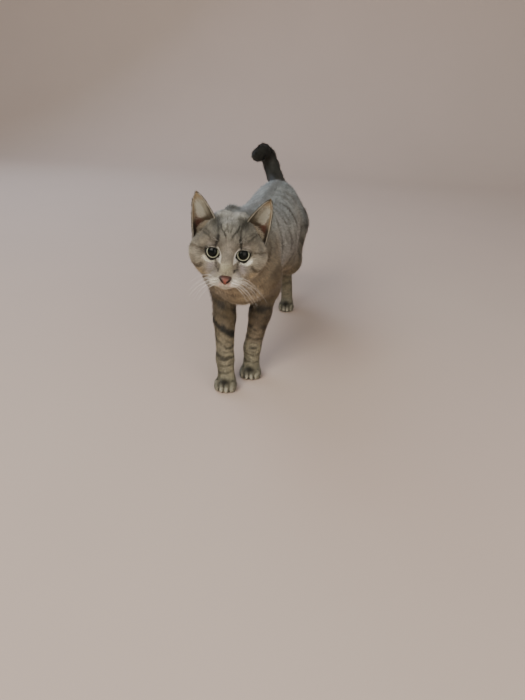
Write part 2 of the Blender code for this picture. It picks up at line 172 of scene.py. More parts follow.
@dataclass(frozen=True)
class Place:
    """A rigid frame: the matrix that takes its own points out to the cat's frame."""

    matrix: Array

    @classmethod
    def of(cls, centre: tuple, turn: float = 0.0, tilt: float = 0.0, roll: float = 0.0) -> "Place":
        """A frame at centre, in degrees: rolled about Y, then tilted about X, then turned about Z."""
        spin = Matrix.Rotation(math.radians(turn), 4, "Z") @ Matrix.Rotation(math.radians(tilt), 4, "X")
        spin = spin @ Matrix.Rotation(math.radians(roll), 4, "Y")
        return cls(np.array(Matrix.Translation(centre) @ spin))

    def then(self, inner: "Place") -> "Place":
        """The frame of something placed inside this frame."""
        return Place(self.matrix @ inner.matrix)

    def out(self, points: Array) -> Array:
        """Takes points from this frame to the cat's."""
        return np.asarray(points, float) @ self.matrix[:3, :3].T + self.matrix[:3, 3]

    def into(self, points: Array) -> Array:
        """Takes points from the cat's frame to this one."""
        return (points - self.matrix[:3, 3]) @ self.matrix[:3, :3]

    def turned(self, vectors: Array) -> Array:
        """Takes directions from this frame to the cat's."""
        return np.asarray(vectors, float) @ self.matrix[:3, :3].T


# The head's own frame lies between the fronts of the eyes, -Y out of the face and +Z through the crown
HEAD = Place.of((-4.0, -262.0, 219.5), turn=10.0, tilt=-4.0, roll=4.5)


# ------------------------ pieces

MARKINGS = "Markings"  # the colour attribute of skin and coat
POLAR = "Polar"  # the angle from an eye's axis, in degrees


def new_mesh(name: str, points: Array, faces: Array) -> bpy.types.Mesh:
    """A smooth-shaded mesh in metres, where the cat stands.

    Args:
        name: the mesh's name.
        points: its vertices in millimetres, in the cat's frame.
        faces: vertex numbers, a row for each face.
    """
    mesh = bpy.data.meshes.new(name)
    count, size = faces.shape
    mesh.vertices.add(len(points))
    mesh.vertices.foreach_set("co", ((points + STAND) * METRES).astype(np.float32).ravel())
    mesh.loops.add(faces.size)
    mesh.loops.foreach_set("vertex_index", faces.astype(np.int32).ravel())
    mesh.polygons.add(count)
    mesh.polygons.foreach_set("loop_start", np.arange(count, dtype=np.int32) * size)
    mesh.polygons.foreach_set("use_smooth", np.ones(count, bool))
    mesh.update(calc_edges=True)
    return mesh


def set_colours(mesh: bpy.types.Mesh, colours: Array) -> None:
    """Stores an sRGB colour for each vertex, as linear values, in the attribute that the materials read."""
    rgba = np.ones((len(colours), 4), np.float32)
    rgba[:, :3] = linear(colours)
    mesh.attributes.new(MARKINGS, "FLOAT_COLOR", "POINT").data.foreach_set("color", rgba.ravel())


def show(item: bpy.types.Object) -> bpy.types.Object:
    """Puts an object in the scene."""
    bpy.context.scene.collection.objects.link(item)
    return item


def new_piece(mesh: bpy.types.Mesh, material: bpy.types.Material) -> bpy.types.Object:
    """An object for a mesh that is already in its place, with its finish, riding on the cat's one body."""
    piece = show(bpy.data.objects.new(mesh.name, mesh))
    mesh.materials.append(material)
    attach(piece, BODY)
    LOG.info("%s: %d faces", piece.name, len(mesh.polygons))
    return piece


def grid_faces(rows: int, columns: int, closed: bool = True) -> Array:
    """Four-cornered faces between the rows of a grid of points, joined round where the rows are closed."""
    ids = np.arange(rows * columns).reshape(rows, columns)
    right = np.roll(ids, -1, axis=1) if closed else ids[:, 1:]
    left = ids if closed else ids[:, :-1]
    return np.stack([left[:-1], right[:-1], right[1:], left[1:]], axis=-1).reshape(-1, 4)


def repeated(faces: Array, copies: int) -> Array:
    """The same faces for one copy of their points after another."""
    return np.concatenate([faces + copy * (faces.max() + 1) for copy in range(copies)])


# ------------------------ finishes


def add_node(tree: Tree, kind: str, inputs: dict, stops: Sequence = (), **settings) -> bpy.types.Node:
    """Adds a node.

    Args:
        tree: the material's nodes.
        kind: the node's type, after "ShaderNode".
        inputs: a value, or a socket to link, for each input by name or number.
        stops: places from 0 to 1 with their colours, where the node holds a ramp of colours.
        settings: the node's own properties.

    Returns:
        The node.
    """
    node = tree.nodes.new("ShaderNode" + kind)
    for name, value in settings.items():
        setattr(node, name, value)
    for name, value in inputs.items():
        if isinstance(value, Socket):
            tree.links.new(value, node.inputs[name])
        else:
            node.inputs[name].default_value = value
    for number, (place, colour) in enumerate(stops):
        elements = node.color_ramp.elements
        element = elements[number] if number < len(elements) else elements.new(place)
        element.position = place
        element.color = (*linear(colour), 1.0)
    return node


@dataclass(frozen=True)
class Finish:
    """What every finish has: a name, how rough and shiny it is, and a clear wet layer where it has one."""

    name: str
    roughness: float
    ior: float = 1.5
    sheen: float = 0.0
    sheen_roughness: float = 0.4
    wet: float = 0.0
    wet_roughness: float = 0.02

    def look(self, tree: Tree, place: Socket) -> dict[str, Socket]:
        """What the shader's colour and relief come from, by the place on the piece. Each has its own."""
        raise NotImplementedError

    def material(self) -> bpy.types.Material:
        """A new material with these values and this look."""
        made = bpy.data.materials.new(self.name)
        made.use_nodes = True
        tree = made.node_tree
        tree.nodes.clear()
        values = {
            "Roughness": self.roughness,
            "IOR": self.ior,
            "Sheen Weight": self.sheen,
            "Sheen Roughness": self.sheen_roughness,
            "Coat Weight": self.wet,
            "Coat Roughness": self.wet_roughness,
        }
        place = add_node(tree, "TexCoord", {}).outputs["Object"]
        shader = add_node(tree, "BsdfPrincipled", values | self.look(tree, place))
        add_node(tree, "OutputMaterial", {"Surface": shader.outputs[0]})
        return made


@dataclass(frozen=True)
class Fur(Finish):
    """Cat's hair: finely scaled keratin, so it has a soft shine and a faint bloom at glancing angles."""

    mottle: float = 0.12

    def look(self, tree: Tree, place: Socket) -> dict[str, Socket]:
        """The markings, mottled a little, as single hairs in a tuft differ."""
        marks = add_node(tree, "Attribute", {}, attribute_name=MARKINGS).outputs["Color"]
        hairs = add_node(tree, "TexNoise", {"Vector": place, "Scale": 900.0, "Detail": 2.0}).outputs[0]
        levels = {"From Min": 0.3, "From Max": 0.7, "To Min": 1.0 - self.mottle, "To Max": 1.0 + self.mottle}
        spread = add_node(tree, "MapRange", {"Value": hairs} | levels).outputs[0]
        mottled = add_node(tree, "VectorMath", {0: marks, "Scale": spread}, operation="SCALE")
        return {"Base Color": mottled.outputs[0]}


@dataclass(frozen=True)
class Hide(Finish):
    """Skin under the coat, with the fine short underfur that lies on it as a grain."""

    def look(self, tree: Tree, place: Socket) -> dict[str, Socket]:
        """The markings, and a noise of 0.8 mm for the grain of the underfur."""
        marks = add_node(tree, "Attribute", {}, attribute_name=MARKINGS).outputs["Color"]
        fuzz = add_node(tree, "TexNoise", {"Vector": place, "Scale": 1250.0, "Detail": 3.0}).outputs[0]
        relief = add_node(tree, "Bump", {"Height": fuzz, "Strength": 0.5, "Distance": 0.0004})
        return {"Base Color": marks, "Normal": relief.outputs[0]}


@dataclass(frozen=True)
class Leather(Finish):
    """The bare, pebbled skin of the nose and the pads: moist, with grains of about half a millimetre."""

    grain_size: float = 0.5

    def look(self, tree: Tree, place: Socket) -> dict[str, Socket]:
        """The markings; the grains are cells with grooves between them."""
        marks = add_node(tree, "Attribute", {}, attribute_name=MARKINGS).outputs["Color"]
        scale = 1.0 / (self.grain_size * METRES)
        cells = add_node(tree, "TexVoronoi", {"Vector": place, "Scale": scale}).outputs["Distance"]
        relief = add_node(tree, "Bump", {"Height": cells, "Strength": 0.35, "Distance": 0.0002}, invert=True)
        return {"Base Color": marks, "Normal": relief.outputs[0]}


@dataclass(frozen=True)
class Cornea(Finish):
    """The wet eye: a wide black pupil in a thin pale iris with a dark rim, under a clear glossy layer."""

    pupil: float = 38.5  # degrees from the axis to the pupil's edge
    iris: float = 54.0
    whole: float = 90.0  # the angle at which the bands of colour end
    fibre: float = 1.6  # how far a fibre of the iris reaches over, in degrees

    def look(self, tree: Tree, place: Socket) -> dict[str, Socket]:
        """Bands of colour by the angle from the eye's axis, and fine fibres in the iris."""
        polar = add_node(tree, "Attribute", {}, attribute_name=POLAR).outputs["Fac"]
        fibres = add_node(tree, "TexNoise", {"Vector": place, "Scale": 1400.0, "Detail": 2.0}).outputs[0]
        inputs = {0: fibres, 1: self.fibre, 2: polar}
        ragged = add_node(tree, "Math", inputs, operation="MULTIPLY_ADD").outputs[0]
        share = add_node(tree, "Math", {0: ragged, 1: self.whole}, operation="DIVIDE").outputs[0]
        bands = (
            (0.0, "#0b0f0d"),
            (self.pupil - 0.6, "#0d110e"),
            (self.pupil + 1.2, "#82886f"),
            (self.pupil + 4.0, "#b6b9a3"),
            (self.iris - 3.0, "#cccebb"),
            (self.iris - 0.5, "#5f5e48"),
            (self.iris + 2.0, "#15120e"),
        )
        stops = [(angle / self.whole, srgb(code)) for angle, code in bands]
        return {"Base Color": add_node(tree, "ValToRGB", {"Fac": share}, stops).outputs["Color"]}


@dataclass(frozen=True)
class Plain(Finish):
    """One colour, with a faint change from place to place."""

    colour: str = "#ffffff"
    waves: float = 1.0  # of the change, to a metre
    detail: float = 1.0
    darkest: float = 1.0  # as a share of the colour

    def look(self, tree: Tree, place: Socket) -> dict[str, Socket]:
        """The colour, darker where a noise is low."""
        whole = srgb(self.colour)
        stops = [(0.0, whole * self.darkest), (1.0, whole)]
        inputs = {"Vector": place, "Scale": self.waves, "Detail": self.detail}
        change = add_node(tree, "TexNoise", inputs).outputs[0]
        return {"Base Color": add_node(tree, "ValToRGB", {"Fac": change}, stops).outputs["Color"]}


@dataclass(frozen=True)
class Horn(Plain):
    """Keratin, as in a whisker: stiff, pale and half glossy."""

    colour: str = "#efece4"
    waves: float = 120.0
    darkest: float = 0.92


@dataclass(frozen=True)
class Board(Plain):
    """The matt painted board of a studio's floor."""

    colour: str = "#d4c1b3"
    waves: float = 3.0
    detail: float = 3.0
    darkest: float = 0.97


# ------------------------ the masses


class Part(Enum):
    """Stretches of the body that are marked in their own way."""

    HEAD = 0
    NECK = 1
    TRUNK = 2
    FORELEG_LEFT = 3
    FORELEG_RIGHT = 4
    HINDLEG_LEFT = 5
    HINDLEG_RIGHT = 6
    TAIL = 7


class Coat(Enum):
    """Kinds of coat: depth over the skin, a tuft's length and width, and tufts to a square millimetre."""

    MUZZLE = (1.0, 2.6, 0.32, 7.6)
    FACE = (1.4, 3.8, 0.36, 6.6)
    CROWN = (2.4, 6.4, 0.44, 4.6)
    CHEEK = (3.0, 7.8, 0.48, 4.0)
    NECK = (4.0, 12.0, 0.62, 2.8)
    TRUNK = (4.0, 12.5, 0.68, 2.3)
    HAUNCH = (3.6, 10.5, 0.66, 2.45)
    LIMB = (2.2, 5.8, 0.50, 4.0)
    PAW = (1.4, 3.6, 0.42, 5.4)
    TAIL = (4.0, 11.0, 0.64, 2.9)


@dataclass(frozen=True)
class Cone:
    """A round cone: two balls and the cone that touches both."""

    start: Array
    end: Array
    start_radius: float
    end_radius: float

    def box(self) -> tuple[Array, Array]:
        """Lowest and highest corner."""
        low = np.minimum(self.start - self.start_radius, self.end - self.end_radius)
        return low, np.maximum(self.start + self.start_radius, self.end + self.end_radius)

    def distance(self, points: Array) -> Array:
        """Signed distance, by which of the two balls and the cone is nearest."""
        axis = self.end - self.start
        length2 = axis @ axis
        taper = self.start_radius - self.end_radius
        slope2 = length2 - taper * taper
        rel = points - self.start
        along = rel @ axis
        beyond = along - length2
        off = rel * length2 - along[:, None] * axis
        off2 = (off * off).sum(1)
        along2, beyond2 = along * along * length2, beyond * beyond * length2
        reach = np.sign(taper) * taper * taper * off2
        side = (np.sqrt(off2 * slope2 / length2) + along * taper) / length2 - self.start_radius
        near = np.sqrt(off2 + along2) / length2 - self.start_radius
        far = np.sqrt(off2 + beyond2) / length2 - self.end_radius
        side = np.where(np.sign(along) * slope2 * along2 < reach, near, side)
        return np.where(np.sign(beyond) * slope2 * beyond2 > reach, far, side)


@dataclass(frozen=True)
class Lump:
    """An ellipsoid in a frame of its own."""

    place: Place
    radii: Array

    def box(self) -> tuple[Array, Array]:
        """Corners of the cube round the ball of the longest radius."""
        centre = self.place.matrix[:3, 3]
        return centre - self.radii.max(), centre + self.radii.max()

    def distance(self, points: Array) -> Array:
        """Distance to first order: k (k - 1) / g, where k is the scaled radius and g its steepness."""
        local = self.place.into(points)
        scaled = np.linalg.norm(local / self.radii, axis=1)
        steep = np.linalg.norm(local / self.radii**2, axis=1)
        return scaled * (scaled - 1.0) / np.maximum(steep, 1e-9)


@dataclass(frozen=True)
class Mass:
    """One mass of the body, the width of its fillet with those before it, and how its coat grows and lies."""

    shape: Cone | Lump
    blend: float
    part: Part
    coat: Coat
    flow: Array


def head_lump(centre: tuple, radii: tuple, blend: float, coat: Coat) -> Mass:
    """An ellipsoid in the head's frame. The head's coat has a flow of its own, so this one's is zero."""
    shape = Lump(HEAD.then(Place.of(centre)), np.array(radii, float))
    return Mass(shape, blend, Part.HEAD, coat, np.zeros(3))


def lump(centre: tuple, radii: tuple, blend: float, part: Part, coat: Coat, flow: tuple, **turned) -> Mass:
    """An ellipsoid in the body's frame, turned or tilted as Place.of() says, with the way its coat lies."""
    shape = Lump(Place.of(centre, **turned), np.array(radii, float))
    return Mass(shape, blend, part, coat, unit(np.array(flow, float)))


def cone(start: Array, end: Array, radii: tuple, blend: float, part: Part, coat: Coat) -> Mass:
    """A round cone whose coat lies from its start to its end."""
    start, end = np.array(start, float), np.array(end, float)
    return Mass(Cone(start, end, *radii), blend, part, coat, unit(end - start))


@dataclass(frozen=True)
class Anatomy:
    """The masses of the cat, the same ones that its solids were cut from."""

    chest_shift: float = -6.0
    hip_shift: float = 8.0  # the spine runs a little from right to left
    belly_half_width: float = 55.0
    sole_sink: float = 1.6
    front_half: float = 15.0  # half the width of a front paw, and of a hind one
    hind_half: float = 13.4
    front_toes: dict = field(default_factory=lambda: dict(zip(Side, ((12.5, -186.0), (-16.5, -231.0)))))
    hind_toes: dict = field(default_factory=lambda: dict(zip(Side, ((35.0, 90.0), (-30.0, 158.0)))))

    def masses(self) -> list[Mass]:
        """Every mass, in the order in which they are joined."""
        found = self.neck_and_trunk() + self.head() + self.tail()
        for side in Side:
            found += self.foreleg(side) + self.hindleg(side)
        return found

    def neck_and_trunk(self) -> list[Mass]:
        """Neck, chest, rib cage, belly, loin and rump."""
        nape, throat = HEAD.out([0, 44, -4]), HEAD.out([0, 30, -20])
        back = (0.0, 1.0, -0.22)
        trunk = [
            ((-5, -135, 178), (43, 62, 64), 20),
            ((-2, -70, 180), (50, 85, 60), 20),
            ((3, 5, 176), (self.belly_half_width, 85, 58), 20),
            ((5, 70, 188), (46, 72, 55), 20),
            ((self.hip_shift, 108, 200), (39, 47, 46), 18),
        ]
        neck = [
            cone(nape, (-4, -165, 190), (31, 45), 22, Part.NECK, Coat.NECK),
            cone(throat, (-5, -166, 160), (25, 39), 20, Part.NECK, Coat.NECK),
        ]
        return neck + [lump(*sizes, Part.TRUNK, Coat.TRUNK, back) for sizes in trunk]

    def head(self) -> list[Mass]:
        """Skull, forehead, bridge, nose tip, chin, throat, cheeks, whisker pads and brows."""
        found = [
            head_lump((0, 34, 3), (36, 40, 36), 10, Coat.CROWN),
            head_lump((0, 14, 12), (24, 19.5, 22), 10, Coat.FACE),
            cone(HEAD.out([0, 9, 9]), HEAD.out([0, -18, -15.5]), (12.5, 6.8), 9, Part.HEAD, Coat.MUZZLE),
            head_lump((0, -20, -22), (6.5, 7.5, 6.2), 5, Coat.MUZZLE),
            head_lump((0, -8, -33.2), (10.5, 12.5, 8.0), 7, Coat.FACE),
            head_lump((0, 16, -23), (24, 26, 16), 12, Coat.CHEEK),
        ]
        for side in Side:
            sign = side.value
            found += [
                head_lump((sign * 26, 28, -5), (24, 23, 24), 12, Coat.CHEEK),
                head_lump((sign * 21.5, 18, -16.5), (17, 20, 15), 10, Coat.CHEEK),
                head_lump((sign * 9.4, -13.5, -27), (11, 13, 9.4), 5, Coat.MUZZLE),
                head_lump((sign * 20, 14, 11), (12, 8, 8), 8, Coat.FACE),
                head_lump((sign * 12, 47, 19.5), (17, 27, 24.5), 12, Coat.CROWN),
            ]
        return found

    def foreleg(self, side: Side) -> list[Mass]:
        """Shoulder blade, upper arm, forearm and paw."""
        sign, part = side.value, Part[f"FORELEG_{side.name}"]
        toe_x, toe_y = self.front_toes[side]
        wrist = np.array((toe_x - 3.5 + sign * 2, toe_y + 37, 40))
        knuckle = np.array((toe_x - 1, toe_y + 26, 16))
        reach = (toe_y - self.front_toes[Side.LEFT][1]) * 0.35
        elbow = np.array((self.chest_shift + sign * 31, -118 + reach, 131))
        shoulder = np.array((self.chest_shift + sign * 32, -158 + reach * 0.4, 165))
        middle = elbow + (wrist - elbow) * 0.45
        blade = (self.chest_shift + sign * 27, -116, 201)
        return [
            lump(blade, (17, 36, 46), 18, Part.TRUNK, Coat.TRUNK, (0, 1, -0.4), tilt=-18),
            cone(shoulder, elbow, (25, 21), 14, part, Coat.HAUNCH),
            cone(elbow, middle, (20, 15.8), 10, part, Coat.HAUNCH),
            cone(middle, wrist, (15.8, 12.3), 8, part, Coat.LIMB),
            cone(wrist, knuckle, (12.3, 12.2), 7, part, Coat.LIMB),
        ] + self.paw(toe_x, toe_y, self.front_half, part)

    def hindleg(self, side: Side) -> list[Mass]:
        """Fold of the flank, thigh, shank, hock and paw."""
        sign, part = side.value, Part[f"HINDLEG_{side.name}"]
        toe_x, toe_y = self.hind_toes[side]
        stride = toe_y - self.hind_toes[Side.LEFT][1]
        hip = np.array((self.hip_shift + sign * 25, 98, 176))
        knee = np.array((self.hip_shift + sign * 30, 56 + stride * 0.45, 117 - stride * 0.05))
        hock = np.array((toe_x - sign * 9.5, toe_y + 66, 74 + stride * 0.10))
        knuckle = np.array((toe_x, toe_y + 27, 16))
        shank = hock + (knee - hock) * 0.35
        calf = hock + (knee - hock) * 0.45
        return [
            cone(knee + (-sign * 4, -45, 22), knee, (20, 19), 22, Part.TRUNK, Coat.TRUNK),
            cone(hip, knee, (35, 19.5), 18, part, Coat.HAUNCH),
            cone(hip + (0, 22, -15), calf, (28, 16), 18, part, Coat.HAUNCH),
            cone(knee, shank, (20, 14), 12, part, Coat.HAUNCH),
            cone(shank, hock, (14, 11.3), 9, part, Coat.LIMB),
            cone(hock, knuckle, (11, 11), 7, part, Coat.LIMB),
        ] + self.paw(toe_x, toe_y, self.hind_half, part)

    def paw(self, toe_x: float, toe_y: float, half_width: float, part: Part) -> list[Mass]:
        """The palm, and four toes in an arc whose tips reach toe_y."""
        floor, forward = -self.sole_sink, (0, -1, -0.5)
        palm = (toe_x, toe_y + 21, floor + 10.5)
        found = [lump(palm, (half_width * 0.92, 16.5, 11.5), 6, part, Coat.PAW, forward)]
        for place in (-1.5, -0.5, 0.5, 1.5):
            outer = abs(place) > 1
            centre = (toe_x + place * half_width * 0.52, toe_y + (13.0 if outer else 9.5), floor + 8.8)
            radii = (half_width * 0.31, 10.5 if outer else 9.8, 9.0)
            found.append(lump(centre, radii, 3.4, part, Coat.PAW, forward, turn=-place * 7))
        return found

    def tail_path(self) -> list[tuple[Array, float]]:
        """Where the tail goes and how thick it is."""
        root = np.array((self.hip_shift, 122, 214))
        steps = (
            ((0, 0, 0), 18.0),
            ((-2, 30, 4), 16.0),
            ((-5, 60, 3), 15.4),
            ((-13, 90, 7), 15.2),
            ((-24, 115, 19), 15.0),
            ((-33, 126, 38), 14.6),
            ((-40, 121, 57), 14.0),
            ((-46, 104, 67), 13.4),
            ((-54, 84, 62), 12.4),
        )
        return [(root + step, radius) for step, radius in steps]

    def tail(self) -> list[Mass]:
        """The tail as a chain of round cones."""
        path = self.tail_path()
        pairs = zip(path, path[1:])
        return [cone(a, b, (ra, rb), 6, Part.TAIL, Coat.TAIL) for (a, ra), (b, rb) in pairs]


# ------------------------ eyes


@dataclass(frozen=True)
class Eye:
    """One eye: the ball, the opening between the lids, and the gaze. Its own -Y points out of the face."""

    side: Side
    spacing: float = 39.2
    solid_radius: float = 10.3
    radius: float = 9.9
    bulge: float = 0.5  # of the cornea
    splay: float = 12.0
    half_width: float = 7.8  # of the opening
    upper_lid: float = 5.6  # from the middle up to the upper lid, and down to the lower one
    lower_lid: float = 8.2
    inner_point: float = 1.7  # how far the opening runs out at the corner by the nose
    inner_angle: float = math.pi + 0.32  # where that corner is
    outer_point: float = 0.9
    outer_angle: float = 0.10
    look_up: float = 6.0  # degrees
    look_in: float = 1.5

    REACH = 6.0  # the skin is shaped this far out from the opening
    ON_RIM = 0.32  # vertices as near as this to its edge are drawn onto it
    LID = 1.0  # how thick the lid's edge is, over the ball
    SUNK = 0.8  # how far behind the ball's surface the skin is inside the opening
    IRIS_EDGE = (22, 52)  # between these angles from the axis, in degrees, the cornea's bulge ends

    @property
    def place(self) -> Place:
        """The eyeball's frame in the head."""
        sign, splay = self.side.value, math.radians(self.splay)
        across = sign * (self.spacing / 2 - math.sin(splay) * self.solid_radius)
        return HEAD.then(Place.of((across, math.cos(splay) * self.solid_radius, 0.0), turn=sign * self.splay))

    def opening(self, around: Array) -> Array:
        """The opening's radius: an ellipse, pointed at each corner. 0 is outwards and pi/2 is up."""
        wide, high = self.half_width, np.where(np.sin(around) > 0.0, self.upper_lid, self.lower_lid)
        radius = wide * high / np.hypot(high * np.cos(around), wide * np.sin(around))
        for point, angle in ((self.inner_point, self.inner_angle), (self.outer_point, self.outer_angle)):
            apart = np.abs((around - angle + math.pi) % (2 * math.pi) - math.pi)
            radius = radius + point * bump(apart, 0, 0.30)
        return radius

    def rim(self, around: Array) -> Array:
        """How wide the black rim of the lids is: narrow above, wider below and towards the nose."""
        up, inward = np.sin(around), np.maximum(-np.cos(around), 0.0)
        return 1.6 - 0.5 * np.maximum(up, 0.0) + 1.3 * np.maximum(-up, 0.0) + 0.8 * inward**2

    def polar(self, points: Array) -> tuple[Array, Array, Array]:
        """How far outside the opening each point is, the angle round it, and the point in the eye's frame."""
        local = self.place.into(points)
        across = local[:, 0] * self.side.value
        around = np.arctan2(local[:, 2], across)
        return np.hypot(across, local[:, 2]) - self.opening(around), around, local

    def open_lids(self, points: Array) -> Array:
        """Shapes the skin round the eye.

        Outside the opening the skin comes down to a rim 0.9 mm proud of the ball and runs out to its own
        surface within 5 mm. Inside, it sinks behind the ball, except by the nose, where it fills the corner.

        Args:
            points: the skin's vertices in the cat's frame.

        Returns:
            The same vertices, those round the eye moved.
        """
        offset, _, local = self.polar(points)
        near = (offset < self.REACH) & (local[:, 1] < 1.0)
        local, offset = local[near], offset[near]
        out = np.hypot(local[:, 0], local[:, 2])
        on_rim = np.abs(offset) < self.ON_RIM
        scale = np.where(on_rim, (out - offset) / np.maximum(out, 1e-6), 1.0)
        local[:, [0, 2]] *= scale[:, None]
        out, offset = out * scale, np.where(on_rim, 0.0, offset)
        skin_y = local[:, 1].copy()
        lid_radius = self.radius - 0.1 + self.LID * rise(0.0, 0.7, offset)
        rim_y = np.minimum(-np.sqrt(np.maximum(lid_radius**2 - out**2, 4.0)), skin_y + 3.0)
        sunk_y = np.minimum(-np.sqrt(np.maximum((self.radius - self.SUNK) ** 2 - out**2, 0.0)), skin_y + 4.5)
        share = rise(0.9, 5.0, offset)
        local[:, 1] = np.where(offset < 0.0, sunk_y, rim_y * (1.0 - share) + skin_y * share)
        moved = points.copy()
        moved[near] = self.place.out(local)
        return moved

    def build(self, finish: Cornea) -> bpy.types.Object:
        """The eyeball: rings round its line of sight, swelling a little over the iris as a cornea does."""
        rows, columns = 72, 64
        sphere, angle = ball(rows, columns)
        radius = self.radius + self.bulge * fade(*np.radians(self.IRIS_EDGE), angle)
        gaze = Place.of((0, 0, 0), turn=-self.side.value * self.look_in, tilt=-self.look_up)
        points = self.place.then(gaze).out(sphere * radius[:, None])
        mesh = new_mesh(f"eyeball_{self.side.label}", points, grid_faces(rows, columns))
        angles = np.degrees(angle).astype(np.float32)
        mesh.attributes.new(POLAR, "FLOAT", "POINT").data.foreach_set("value", angles)
        piece = new_piece(mesh, finish.material())
        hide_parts(f"eye_{self.side.label}")
        return piece


EYES = tuple(Eye(side) for side in Side)


def eye_offset(points: Array) -> Array:
    """How far outside the nearer eye's black rim each point is. Points well behind the eyes count as far."""
    found = np.full(len(points), 100.0)
    for eye in EYES:
        offset, around, local = eye.polar(points)
        found = np.minimum(found, np.where(local[:, 1] < 3.0, offset - eye.rim(around), 100.0))
    return found


# ------------------------ the body


class Body:
    """The blended surface round the masses, as a distance that is zero on the coat's outline."""

    REACH = 26.0  # beyond this from a mass it no longer changes the surface
    FAR = 1000.0
    HOLLOW = (13.5, 10.3, 12.0)  # the radii of the hollow of the face in which each eye sits
    HOLLOW_AT = (0.0, -16.0, 0.0)  # its centre, from the eyeball's
    HOLLOW_BLEND = 5.0
    SLOPE_STEP = 0.1

    def __init__(self, masses: list[Mass]) -> None:
        """Keeps the masses, and every shape with its fillet and a sign: 1 if it is added, -1 for a hollow."""
        self.masses = masses
        self.steps = [(mass.shape, mass.blend, 1.0) for mass in masses]
        for eye in EYES:
            hollow = Lump(eye.place.then(Place.of(self.HOLLOW_AT)), np.array(self.HOLLOW))
            self.steps.append((hollow, self.HOLLOW_BLEND, -1.0))

    def join(self, total: Array, one: Array, blend: float) -> Array:
        """The smooth lesser of two distances: the lesser, less a fillet where they differ by under blend."""
        share = np.clip(0.5 + 0.5 * (one - total) / blend, 0.0, 1.0)
        return one + (total - one) * share - blend * share * (1.0 - share)

    def distance(self, points: Array) -> Array:
        """Distance from the outline at any points, negative inside."""
        total = np.full(len(points), self.FAR)
        for shape, blend, sign in self.steps:
            low, high = shape.box()
            near = ((points > low - self.REACH) & (points < high + self.REACH)).all(axis=1)
            if near.any():
                total[near] = sign * self.join(sign * total[near], shape.distance(points[near]), blend)
        return total

    def sample(self, low: Array, cell: float, size: tuple) -> Array:
        """The distance at every corner of a grid of cells."""
        total = np.full(size, self.FAR)
        for shape, blend, sign in self.steps:
            near, far = shape.box()
            first = np.clip(((near - self.REACH - low) / cell).astype(int), 0, size)
            last = np.clip(((far + self.REACH - low) / cell).astype(int) + 1, 0, size)
            block = tuple(slice(a, b) for a, b in zip(first, last))
            axes = [low[axis] + cell * np.arange(first[axis], last[axis]) for axis in range(3)]
            points = np.stack(np.meshgrid(*axes, indexing="ij"), axis=-1).reshape(-1, 3)
            here = sign * self.join(sign * total[block].ravel(), shape.distance(points), blend)
            total[block] = here.reshape(total[block].shape)
        return total

    def slope(self, points: Array, here: Array) -> Array:
        """Gradient of the distance by forward differences."""
        steps = np.eye(3) * self.SLOPE_STEP
        return np.stack([(self.distance(points + axis) - here) / self.SLOPE_STEP for axis in steps], axis=1)

    def settle(self, points: Array, depth: Array, rounds: int) -> Array:
        """Moves points to the surface that lies depth inside the outline, by Newton's steps."""
        for _ in range(rounds):
            here = self.distance(points)
            slope = self.slope(points, here)
            steep = np.maximum((slope * slope).sum(1, keepdims=True), 0.05)
            points = points - 0.9 * (here + depth)[:, None] * slope / steep
        return points

    def shares(self, points: Array, softness: float = 4.0) -> Array:
        """How much each mass says at each point: exp(-extra distance / softness), made to add up to one."""
        apart = np.stack([mass.shape.distance(points) for mass in self.masses], axis=1)
        weight = np.exp(-(apart - apart.min(axis=1, keepdims=True)) / softness)
        return weight / weight.sum(axis=1, keepdims=True)


def surface_net(values: Array, low: Array, cell: float) -> tuple[Array, Array]:
    """The surface where a sampled distance is zero.

    Each cell that the surface crosses gets one point, the mean of the places where its twelve edges cross it,
    and each crossed edge gets one face between the four cells round it.

    Args:
        values: the distance at the grid's corners.
        low: the grid's lowest corner.
        cell: the grid's spacing.

    Returns:
        The points and the four-cornered faces.
    """
    inside = values < 0
    count = 0
    for corner in np.ndindex(2, 2, 2):
        block = tuple(slice(at, at + size - 1) for at, size in zip(corner, inside.shape))
        count = count + inside[block].astype(np.int8)
    crossed = (count > 0) & (count < 8)
    cells = np.argwhere(crossed)
    number = np.full(crossed.shape, -1)
    number[crossed] = np.arange(len(cells))
    total, hits, faces = np.zeros((len(cells), 3)), np.zeros(len(cells)), []
    for axis in range(3):
        one, other = (axis + 1) % 3, (axis + 2) % 3
        for corner in np.ndindex(2, 2):
            start = np.zeros(3, int)
            start[[one, other]] = corner
            end = start + np.eye(3, dtype=int)[axis]
            here, there = values[tuple((cells + start).T)], values[tuple((cells + end).T)]
            cut = (here < 0) != (there < 0)
            share = here[cut] / (here[cut] - there[cut])
            total[cut] += start + share[:, None] * (end - start)
            hits[cut] += 1
        first = inside.take(range(inside.shape[axis] - 1), axis)
        edges = np.argwhere(first != inside.take(range(1, inside.shape[axis]), axis))
        for across in (one, other):
            edges = edges[(edges[:, across] > 0) & (edges[:, across] < inside.shape[across] - 1)]
        ring = []
        for corner in ((0, 0), (1, 0), (1, 1), (0, 1)):
            at = edges.copy()
            at[:, [one, other]] -= corner
            ring.append(number[tuple(at.T)])
        quads = np.stack(ring, axis=1)
        faces.append(np.where(first[tuple(edges.T)][:, None], quads, quads[:, ::-1]))
    return low + (cells + total / hits[:, None]) * cell, np.concatenate(faces)


def vertex_normals(points: Array, triangles: Array) -> Array:
    """The mean direction of the faces round each vertex, by their areas."""
    a, b, c = points[triangles].transpose(1, 0, 2)
    face, corners = np.repeat(np.cross(b - a, c - a), 3, axis=0), triangles.ravel()
    return unit(np.stack([np.bincount(corners, face[:, axis], len(points)) for axis in range(3)], axis=1))


# ------------------------ markings


